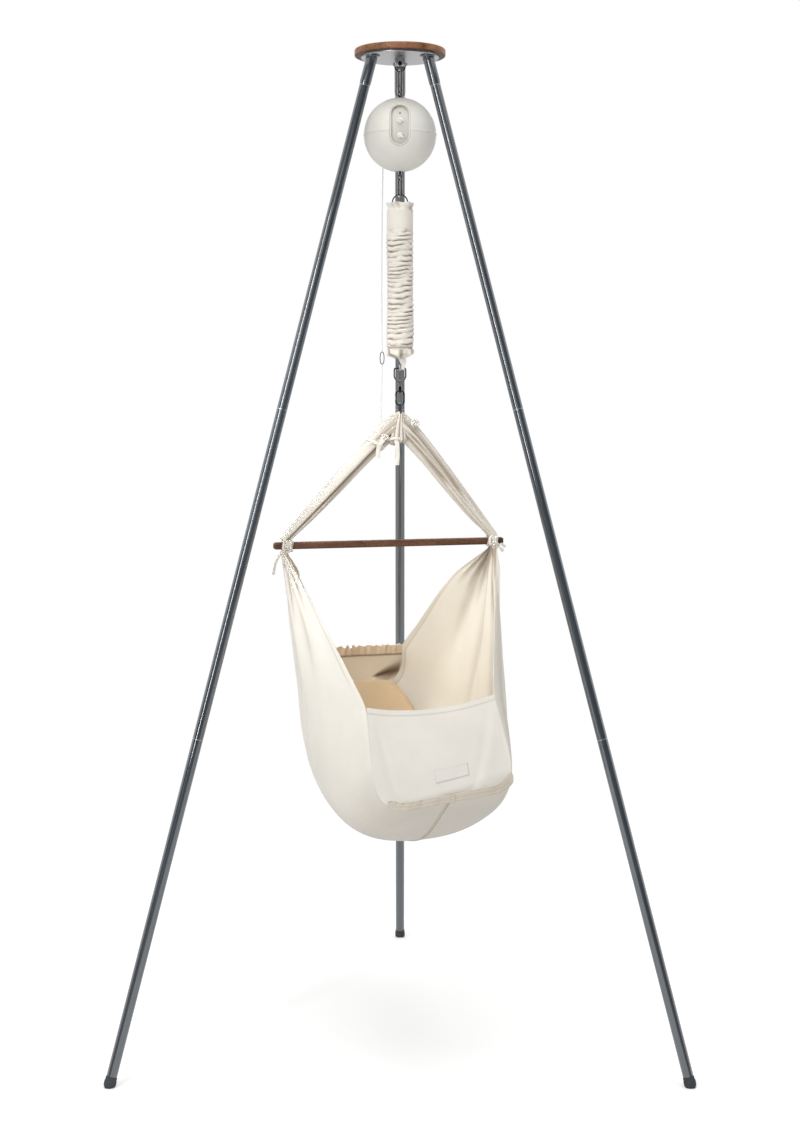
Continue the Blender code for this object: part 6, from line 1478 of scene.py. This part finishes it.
tape_path = (edge + inward * (5.0 * MM + 3.0 * MM * curl + 3.5 * MM * far_end)[:, None]
             - W_WAY * (2.9 * MM + wavy + 2.4 * MM * curl - 1.2 * MM * far_end)[:, None]
             - np.array([0.0, 0.0, 1.5 * MM]))
ribs = carried(tape_path, inward, 8.2 * MM * taper + 0.05 * MM, 1.1 * MM * taper + 0.05 * MM, sides=20,
               power=0.6)
outward = np.broadcast_to(-W_WAY, edge.shape)
rows_of_stitches = []
for offset in (-4.6, 4.6):
    row = tape_path + inward * offset * MM * taper[:, None] - W_WAY * 1.25 * MM
    rows_of_stitches += stitch_row(row[6:-6], outward[6:-6], 5.2 * MM, 3.4 * MM, 0.5 * MM, material=1)
seam_dark = woven("seam in shade", (0.36, 0.28, 0.20), (0.42, 0.33, 0.24), through=0.0)
shade_line = tape_path + inward * 8.4 * MM * taper[:, None] + W_WAY * 0.3 * MM
shade_line = carried(shade_line, inward, 1.2 * MM * (0.4 + 0.6 * step(-s, -0.45, -0.1)), sides=8, material=2)
foot_tape = piece("foot_tape_sewn", [ribs, shade_line] + rows_of_stitches, "hammock",
                  [tape, thread_white, seam_dark], sharp=60.0)
cloth(foot_tape, flat=(16.4 * MM, length_of(tape_path)), held="stretched")
keel_q = np.linspace(-0.985, 0.90, 160)
keel = basket(0.0 * keel_q, stations(KEEL_PLACES, keel_q), stations(KEEL_HEIGHTS, keel_q))
slope = unit(np.gradient(keel, axis=0))
below = unit(np.cross(slope, U_WAY))
below = below * np.where(below[:, 2:] > 0.0, -1.0, 1.0)
seam = carried(keel + below * 0.5 * MM, U_WAY, 2.1 * MM, 0.6 * MM, sides=14, power=0.7)
# A thin raised strip in the dark seam cloth beside the seam: a painted shadow line.
seam_shadow_strip = carried(keel + below * 0.6 * MM + U_WAY * 2.6 * MM, U_WAY, 0.8 * MM, 0.6 * MM, sides=8, material=1)
tab_line = basket(np.full(40, 3.0 * MM), np.full(40, float(stations(KEEL_PLACES, -1.0))),
                  np.full(40, float(stations(KEEL_HEIGHTS, -1.0))))
drop = np.linspace(-1.0, 1.0, 40)
tab_path = (tab_line + drop[:, None] * np.array([0.0, 0.0, -10.0 * MM])
            - W_WAY * (5.0 * MM - 3.2 * MM * np.maximum(drop, 0.0))[:, None])
tab = carried(tab_path, U_WAY, 4.6 * MM, 0.5 * MM, sides=16, power=0.5, material=3)
tab_rows = []
for offset in (-3.2, 3.2):
    tab_rows += stitch_row(tab_path + U_WAY * offset * MM - W_WAY * 0.6 * MM, -W_WAY, 3.6 * MM, 2.3 * MM,
                           0.4 * MM, material=2)
# Painted shade: the keel seam's cotton is darkened, as it lies in the shade under the basket.
keel_cotton_shaded = woven("keel seam", (0.50, 0.43, 0.34), (0.56, 0.49, 0.40), through=0.0)
keel_seam = piece("keel_seam_sewn", [seam, seam_shadow_strip, tab] + tab_rows, "hammock",
                  [keel_cotton_shaded, seam_dark, thread_white, tape], sharp=60.0)
cloth(keel_seam, flat=(10.0 * MM, length_of(keel)), held="stretched", shaped=True)

# %% Plain patch
tall, wide = np.meshgrid(np.linspace(0.655, 0.800, 14), np.linspace(-0.17, 0.33, 30), indexing="ij")
row = (tall - 0.030 * (wide + 0.17) / 0.5) * (foot_rows - 1)
column = (wide + 1.0) / 2.0 * (foot_columns - 1)
spot = on_net(foot_points, row, column) + on_net(foot_out, row, column) * 0.6 * MM
patch = piece("label_patch_plain", [grid(spot, wrap=(False, False), flip=False)], "hammock",
              [patch_cotton], sharp=60.0)
if np.cross(spot[7, 15] - spot[6, 15], spot[6, 16] - spot[6, 15]) @ W_WAY > 0.0:
    patch.data.flip_normals()
thickened(patch, 0.45 * MM)
cloth(patch, flat=(length_of(spot[7]), length_of(spot[:, 15])), held="stretched")
border = np.concatenate([spot[1, 1:-1], spot[1:-1, -2], spot[-2, -2:0:-1], spot[-2:0:-1, 1]])
sewn = stitch_row(border - W_WAY * 0.25 * MM, -W_WAY, 3.2 * MM, 2.2 * MM, 0.32 * MM)
piece("label_patch_stitches", sewn, "hammock", [thread_white], sharp=60.0)

# %% [markdown]
# ## The mattress
# The mattress is a filled cotton case. It starts from the frame's solid, which is remeshed into even
# small faces and blown up a little by a cloth simulation, so that it takes the shape of filled cloth.

# %% Mattress
def filled(node_name, name, material, voxel=5.0 * MM, pressure=4.0, cap=6.0 * MM, shrink=1.5 * MM):
    """Blow a soft solid up: a copy drawn in by 'shrink', remeshed, then inflated as cloth; no point
    moves further than 'cap' from where it started."""
    mesh = frame["nodes"][node_name].data.copy()
    bm = bmesh.new()
    bm.from_mesh(mesh)
    bmesh.ops.remove_doubles(bm, verts=bm.verts, dist=1e-6)
    bmesh.ops.recalc_face_normals(bm, faces=bm.faces)
    bm.to_mesh(mesh)
    bm.free()
    obj = bpy.data.objects.new(name, mesh)
    bpy.context.scene.collection.objects.link(obj)
    mesh.materials.clear()
    mesh.materials.append(material)
    remesh = obj.modifiers.new("even", "REMESH")
    remesh.mode, remesh.voxel_size = "VOXEL", voxel
    draw_in = obj.modifiers.new("draw in", "DISPLACE")
    draw_in.strength, draw_in.mid_level = -shrink, 0.0
    settled(obj)
    start = np.empty(3 * len(obj.data.vertices))
    obj.data.vertices.foreach_get("co", start)
    cloth = obj.modifiers.new("fill", "CLOTH")
    cloth.settings.use_pressure = True
    cloth.settings.uniform_pressure_force = pressure
    cloth.settings.effector_weights.gravity = 0.0
    cloth.settings.quality = 5
    for moment in range(1, 21):
        bpy.context.scene.frame_set(moment)
    settled(obj)
    bpy.context.scene.frame_set(1)
    now = np.empty(3 * len(obj.data.vertices))
    obj.data.vertices.foreach_get("co", now)
    move = (now - start).reshape(-1, 3)
    size = np.linalg.norm(move, axis=1, keepdims=True)
    move *= np.minimum(1.0, cap / np.maximum(size, 1e-9))
    obj.data.vertices.foreach_set("co", start + move.reshape(-1))
    co = np.empty(3 * len(obj.data.vertices))
    obj.data.vertices.foreach_get("co", co)
    co = co.reshape(-1, 3)
    from_middle = co - co.mean(0)
    over, far = from_middle @ U_WAY, from_middle @ W_WAY
    corner = step(over, 0.015, 0.085) * step(far, 0.06, 0.22) * step(from_middle[:, 2], -0.01, 0.05)
    lifted = 9.0 * MM * corner + 5.0 * MM * step(far, 0.10, 0.22) * step(from_middle[:, 2], -0.01, 0.03)
    lifted += 5.0 * MM * step(-far, 0.08, 0.24) * step(-from_middle[:, 2], -0.01, 0.02)
    co[:, 2] += lifted
    obj.data.vertices.foreach_set("co", co.reshape(-1))
    smooth = obj.modifiers.new("smooth", "SUBSURF")
    smooth.levels = smooth.render_levels = 1
    settled(obj)
    obj.data.shade_smooth()
    return obj


mattress = filled("mattress", "mattress_filled", mattress_cotton)
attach(mattress, "hammock")
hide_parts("mattress")

# %% [markdown]
# ## The ties
# Cotton tapes are wound round the bar's ends in a cross and knotted, and their ends hang down. Each
# turn of tape is a flat section carried round the square bar, tilted so that two turns cross.

# %% Ties
def tape_turn(place, tilt, radius, lead=0.0, count=64):
    """One turn of tape round the bar: a rounded square whose plane leans along the bar."""
    t = np.linspace(0.0, 2.0 * np.pi, count, endpoint=False)
    c, s = np.cos(t), np.sin(t)
    round_off = (np.abs(c) ** 5 + np.abs(s) ** 5) ** (-0.2)
    w, z = radius * round_off * c, radius * round_off * s
    u = place + tilt * np.sin(t + lead)
    return basket(u, w, BAR_Z + z)


def cuff(side):
    """The cloth wrapped round the bar: a rounded square with three soft folds, 22 mm along the bar."""
    place = side * TIE_PLACE * (0.985 if side > 0.0 else 0.965)
    t = np.linspace(0.0, 2.0 * np.pi, 96, endpoint=False)[None, :]
    s = np.linspace(-1.0, 1.0, 40)[:, None]
    c, d = np.cos(t), np.sin(t)
    round_off = (np.abs(c) ** 4 + np.abs(d) ** 4) ** (-0.25)
    folds = ridge(9.5 * s + 1.8 * np.sin(t) + 0.7 * np.sin(2.0 * t + 1.0) + 2.0 * side)
    radius = (8.0 * MM + (0.8 * MM + 1.9 * MM * folds) * (1.0 - s ** 6)) * round_off
    u = place + 11.0 * MM * s + 2.0 * MM * np.sin(t + 0.5) + 0.0 * t
    points = basket(u, radius * c, BAR_Z + radius * d)
    ends = [basket(u[k][None], 7.6 * MM * (round_off * c), BAR_Z + 7.6 * MM * (round_off * d))
            for k in (0, -1)]
    # Painted shade in the valleys between the folds and at both ends, where the cloth meets the bar.
    deep = np.concatenate([0.0 * t + 0.6, 0.85 * (1.0 - folds) ** 1.5 + 0.0 * t, 0.0 * t + 0.6])
    return grid(np.concatenate([ends[0], points, ends[1]]), wrap=(True, True), painted_shade=deep)


def tie(side):
    """Two crossing turns, a knot in front of and below the bar, and two tails."""
    place = side * TIE_PLACE * (0.985 if side > 0.0 else 0.965)
    parts = [cuff(side)]
    for tilt, radius, lead in ((7.0 * MM, 10.8 * MM, -0.2), (-6.5 * MM, 11.5 * MM, 0.3)):
        parts.append(carried(tape_turn(place, tilt, radius, lead), U_WAY, 3.4 * MM, 0.6 * MM, sides=16,
                             power=0.5, closed=True, material=1))
    knot = np.linspace(0.0, 2.0 * np.pi, 96, endpoint=False)
    centre = basket(np.array(place + side * 4.0 * MM), np.array(-11.5 * MM), np.array(BAR_Z - 8.0 * MM))
    size = (4.4 + 2.2 * np.cos(3 * knot)) * MM
    loop = (centre + (size * np.cos(2 * knot))[:, None] * U_WAY
            + (size * np.sin(2 * knot))[:, None] * [0.0, 0.0, 1.0]
            + (2.6 * MM * np.sin(3 * knot))[:, None] * W_WAY)
    parts.append(carried(loop, W_WAY, 2.4 * MM, 1.6 * MM, sides=12, closed=True, material=1))
    return parts, centre


def tail(centre, ends, wide, across=U_WAY, count=40):
    """A tape end that hangs from the knot along a few points (u, w, z from the knot)."""
    pts = np.array([centre + np.array(e[0]) * U_WAY + np.array(e[1]) * W_WAY + [0.0, 0.0, e[2]]
                    for e in np.array(ends) * MM])
    path = spline(pts, count)
    return carried(path, across, np.linspace(0.7, 1.0, count) * wide, 0.5 * MM, sides=12, power=0.5,
                   material=1)


left_parts, left_knot = tie(-1.0)
left_parts.append(tail(left_knot, [(0, 0, 0), (-10, -2, -4), (-22, -3, -22), (-28, -2, -48)], 2.6 * MM))
left_parts.append(tail(left_knot, [(0, 0, 0), (-3, -3, -10), (-4, -4, -20), (-4, -3, -31)], 5.0 * MM))
right_parts, right_knot = tie(1.0)
right_parts.append(tail(right_knot, [(0, 0, 0), (8, -4, 2), (15, -4, 0), (19, -3, -5)], 3.2 * MM))
right_parts.append(tail(right_knot, [(0, 0, 0), (7, -4, -5), (11, -4, -9), (15, -3, -13)], 3.2 * MM))
for name, parts, tape_length in (("tie_left", left_parts, 0.336), ("tie_right", right_parts, 0.288)):
    obj = piece(name + "_knotted", parts, "hammock", [cotton, strap_cotton], [name], sharp=60.0)
    cloth(obj, flat=(0.014, tape_length), held="folded", rests_on=["spreader_bar_oiled"])

# %% Ties under the apex
def near_apex(x, w, z):
    """A place near the apex, in millimetres: to the right, away from the front, and up."""
    return apex + (np.asarray(x, float)[..., None] * U_WAY + np.asarray(w, float)[..., None] * W_WAY
                   + np.asarray(z, float)[..., None] * np.array([0.0, 0.0, 1.0])) * MM


def apex_tail(points, wide, count=40):
    """A tape end through a few places near the apex."""
    path = spline(near_apex(*np.array(points, float).T), count)
    return carried(path, U_WAY, np.linspace(1.0, 0.9, count) * wide * MM, 0.5 * MM, sides=12, power=0.5)


t = np.linspace(0.0, 2.0 * np.pi, 72, endpoint=False)
wrap_place = 0.25
line = band_line(-1.0, np.array([wrap_place - 0.01, wrap_place, wrap_place + 0.01]))
way = unit(line[2] - line[0])
upward = unit(np.cross(way, W_WAY)) * -1.0
over, below = measured(BAND_PLACES, OVER_LINE, wrap_place), measured(BAND_PLACES, UNDER_LEFT, wrap_place)
wrap_line = (line[1] + upward * (over - below) / 2.0
             + ((over + below) / 2.0 + 1.2 * MM) * np.cos(t)[:, None] * upward
             - 13.6 * MM * np.sin(t)[:, None] * W_WAY + 5.0 * MM * np.cos(t + 0.4)[:, None] * way)
wrap = carried(wrap_line, way, 3.6 * MM, 0.6 * MM, sides=14, power=0.5, closed=True)
across_line = near_apex(-12.0 + 19.0 * np.cos(t), -14.5 * np.sin(t), -50.0 - 5.0 * np.cos(t) ** 2)
across_tie = carried(across_line, (0.0, 0.0, 1.0), 2.6 * MM, 0.6 * MM, sides=14, power=0.5, closed=True)
knot = np.linspace(0.0, 2.0 * np.pi, 96, endpoint=False)
size = 5.2 + 2.4 * np.cos(3 * knot)
bow = near_apex(28.0 + size * np.cos(2 * knot), -12.0 + 2.6 * np.sin(3 * knot), -20.0 + size * np.sin(2 * knot))
bow_knot = carried(bow, W_WAY, 2.8 * MM, 1.9 * MM, sides=12, closed=True)
size = 4.2 + 2.0 * np.cos(3 * knot)
low_knot = near_apex(-36.0 + size * np.cos(2 * knot), -14.0 + 2.4 * np.sin(3 * knot), -48.0 + size * np.sin(2 * knot))
left_knot = carried(low_knot, W_WAY, 2.2 * MM, 1.5 * MM, sides=12, closed=True)
tails = [apex_tail([(-36, -15, -48), (-46, -17, -60), (-50, -16, -72), (-51, -15, -90)], 5.0),
         apex_tail([(-12, -14, -54), (-10, -15, -66), (-9, -14, -84), (-10, -13, -104)], 4.6)]
apex_ties = piece("apex_ties_knotted", [wrap, across_tie, bow_knot, left_knot] + tails, "hammock",
                  [cotton], sharp=60.0)
cloth(apex_ties, flat=(0.010, 0.465), held="folded", shaped=True)

# %% [markdown]
# ## The safety cord
# A thin cord leaves the ball beside the hook, hangs down past the sleeve to a small open hook, and
# goes on to a ring in the apex. It is measured as a cord, so its shape is one path.

# %% Cords
CORD = 1.0 * MM
hook_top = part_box("safety_hook")[1].z
hook_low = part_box("safety_hook")[0].z
cord_high = BALL_Z - math.sqrt(BALL ** 2 - 0.034 ** 2 - 0.030 ** 2) - 1.2 * MM
t = np.linspace(0.0, 1.0, 120)[:, None]
first = np.array([-0.034, AXIS_Y + 0.030, cord_high])
last = np.array([-0.036, AXIS_Y + 0.0105, hook_top + 0.3 * MM])
cord_path = first + (last - first) * t - np.array([1.5 * MM, 0, 0]) * 4.0 * t * (1.0 - t)
safety = piece("safety_cord_twisted", [carried(cord_path, (1.0, 0.0, 0.0), CORD, sides=12)], None,
               [cord_white], ["safety_cord"], sharp=80.0)
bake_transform(safety)
lower_first = np.array([-0.036, AXIS_Y + 0.0105, hook_low - 0.3 * MM])
lower_last = np.array([-0.0385, AXIS_Y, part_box("cord_ring")[1].z - 0.6 * MM])
lower_path = lower_first + (lower_last - lower_first) * t[::3]
lower = piece("safety_cord_lower_twisted", [carried(lower_path, (1.0, 0.0, 0.0), CORD, sides=12)],
              "hammock", [cord_white], ["safety_cord_lower"], sharp=80.0)
ring_x = (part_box("cord_ring")[0].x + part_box("cord_ring")[1].x) / 2.0
ring_z = middle_z("cord_ring")
turn = np.linspace(0.0, 2.0 * np.pi, 48, endpoint=False)
ring_path = np.stack([ring_x + 5.0 * MM * np.cos(turn), AXIS_Y + 0.0 * turn, ring_z + 5.0 * MM * np.sin(turn)], 1)
piece("cord_ring_white", [carried(ring_path, (0.0, 1.0, 0.0), 1.2 * MM, sides=12, closed=True)], "hammock",
      [knob_white], ["cord_ring"])
hook_x = (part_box("safety_hook")[0].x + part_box("safety_hook")[1].x) / 2.0
hook_y = (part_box("safety_hook")[0].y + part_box("safety_hook")[1].y) / 2.0
half_hook = (hook_top - hook_low) / 2.0
shape = np.stack([4.0 * MM * np.sign(np.cos(turn)) * np.abs(np.cos(turn)) ** 0.8,
                  (half_hook - 0.9 * MM) * np.sign(np.sin(turn)) * np.abs(np.sin(turn)) ** 0.9], 1)
hook_path = np.stack([hook_x + shape[:, 0], hook_y + 0.0 * turn, (hook_top + hook_low) / 2.0 + shape[:, 1]], 1)
piece("safety_hook_polished", [carried(hook_path, (0.0, 1.0, 0.0), 0.9 * MM, sides=12, closed=True)], "hammock",
      [chrome], ["safety_hook"])

# %% [markdown]
# ## The studio
# The picture has a bare white background. The world shows white to the camera and in reflections and
# lights the scene gently from all round, while two large soft lamps give the shading its direction.
# The floor is a plain pale plane that keeps the feet's soft shadows.

# %% Floor, lamps and world
floor_material, tree, shader = finish("studio floor", (0.90, 0.90, 0.90), 0.9)
shader.inputs["Specular IOR Level"].default_value = 0.0
seen = node(tree, "LightPath").outputs["Is Camera Ray"]
away = node(tree, "VectorMath", {0: node(tree, "TexCoord").outputs["Object"]}, operation="LENGTH").outputs["Value"]
edge = node(tree, "MapRange", {"Value": away, "From Min": 1.5, "From Max": 2.7},
            interpolation_type="SMOOTHSTEP").outputs["Result"]
lift = node(tree, "Math", {0: seen, 1: 0.23}, operation="MULTIPLY").outputs[0]
tree.links.new(lift, shader.inputs["Emission Strength"])
shader.inputs["Emission Color"].default_value = (1.0, 1.0, 1.0, 1.0)
gone = node(tree, "Math", {0: seen, 1: edge}, operation="MULTIPLY").outputs[0]
clear = node(tree, "BsdfTransparent")
faded = node(tree, "MixShader", {0: gone})
tree.links.new(shader.outputs[0], faded.inputs[1])
tree.links.new(clear.outputs[0], faded.inputs[2])
tree.links.new(faded.outputs[0], tree.nodes["Material Output"].inputs["Surface"])


def sheet_of_card(name, corners, material):
    """A flat card from its four corners."""
    mesh = bpy.data.meshes.new(name)
    mesh.from_pydata(corners, [], [(0, 1, 2, 3)])
    mesh.materials.append(material)
    obj = bpy.data.objects.new(name, mesh)
    bpy.context.scene.collection.objects.link(obj)
    return obj


floor_piece = sheet_of_card("studio_floor", [(-14.0, -14.0, -0.5 * MM), (14.0, -14.0, -0.5 * MM),
                                             (14.0, 14.0, -0.5 * MM), (-14.0, 14.0, -0.5 * MM)],
                            floor_material)
card_material, _, card_shader = finish("black card", (0.0, 0.0, 0.0), 1.0)
card_shader.inputs["Specular IOR Level"].default_value = 0.0
for name, corners in (
        ("card behind the camera", [(-4.0, -6.5, -0.2), (5.5, -6.5, -0.2), (5.5, -6.5, 6.5), (-4.0, -6.5, 6.5)]),
        ("card on the left", [(-7.0, -2.0, -0.2), (-4.0, -6.5, -0.2), (-4.0, -6.5, 6.5), (-7.0, -2.0, 6.5)]),
        ("card on the right", [(5.5, -6.5, -0.2), (6.0, -1.5, -0.2), (6.0, -1.5, 6.0), (5.5, -6.5, 6.0)])):
    card = sheet_of_card(name, corners, card_material)
    card.visible_camera = card.visible_diffuse = card.visible_shadow = False
    card.visible_transmission = False
for name, place, aim, wide, tall, power in (
        ("tall lamp on the left", (-2.7, -4.3, 2.6), (0.0, 0.0, 1.1), 0.5, 2.4, 58.0),
        ("wide lamp over the camera", (-1.3, -5.2, 3.2), (0.0, 0.0, 0.9), 3.4, 2.0, 20.0),
        ("gridded lamp over the basket", (-0.72, -0.95, 1.90), (0.12, 0.16, 0.76), 0.5, 0.5, 0.62),
        ("lamp overhead", (0.0, -0.9, 4.6), (0.0, 0.0, 0.8), 3.0, 3.0, 64.0)):
    lamp = bpy.data.lights.new(name, "AREA")
    lamp.shape, lamp.size, lamp.size_y, lamp.energy = "RECTANGLE", wide, tall, power
    if "gridded" in name:
        lamp.spread = math.radians(28.0)
    holder = bpy.data.objects.new(name, lamp)
    bpy.context.scene.collection.objects.link(holder)
    holder.location = place
    holder.rotation_euler = (Vector(place) - Vector(aim)).to_track_quat("Z", "Y").to_euler()
world = bpy.data.worlds.new("studio")
bpy.context.scene.world = world
world.use_nodes = True
tree = world.node_tree
background = tree.nodes["Background"]
path = tree.nodes.new("ShaderNodeLightPath")
seen = tree.nodes.new("ShaderNodeMath")
seen.operation = "ADD"
tree.links.new(path.outputs["Is Camera Ray"], seen.inputs[0])
tree.links.new(path.outputs["Is Glossy Ray"], seen.inputs[1])
also = tree.nodes.new("ShaderNodeMath")
also.operation, also.use_clamp = "ADD", True
tree.links.new(seen.outputs[0], also.inputs[0])
tree.links.new(path.outputs["Is Transmission Ray"], also.inputs[1])
level_node = tree.nodes.new("ShaderNodeMapRange")
tree.links.new(also.outputs[0], level_node.inputs["Value"])
level_node.inputs["To Min"].default_value = 0.68
level_node.inputs["To Max"].default_value = 1.0
background.inputs["Color"].default_value = (1.0, 1.0, 1.0, 1.0)
tree.links.new(level_node.outputs["Result"], background.inputs["Strength"])
bpy.context.scene.view_settings.view_transform = "Standard"
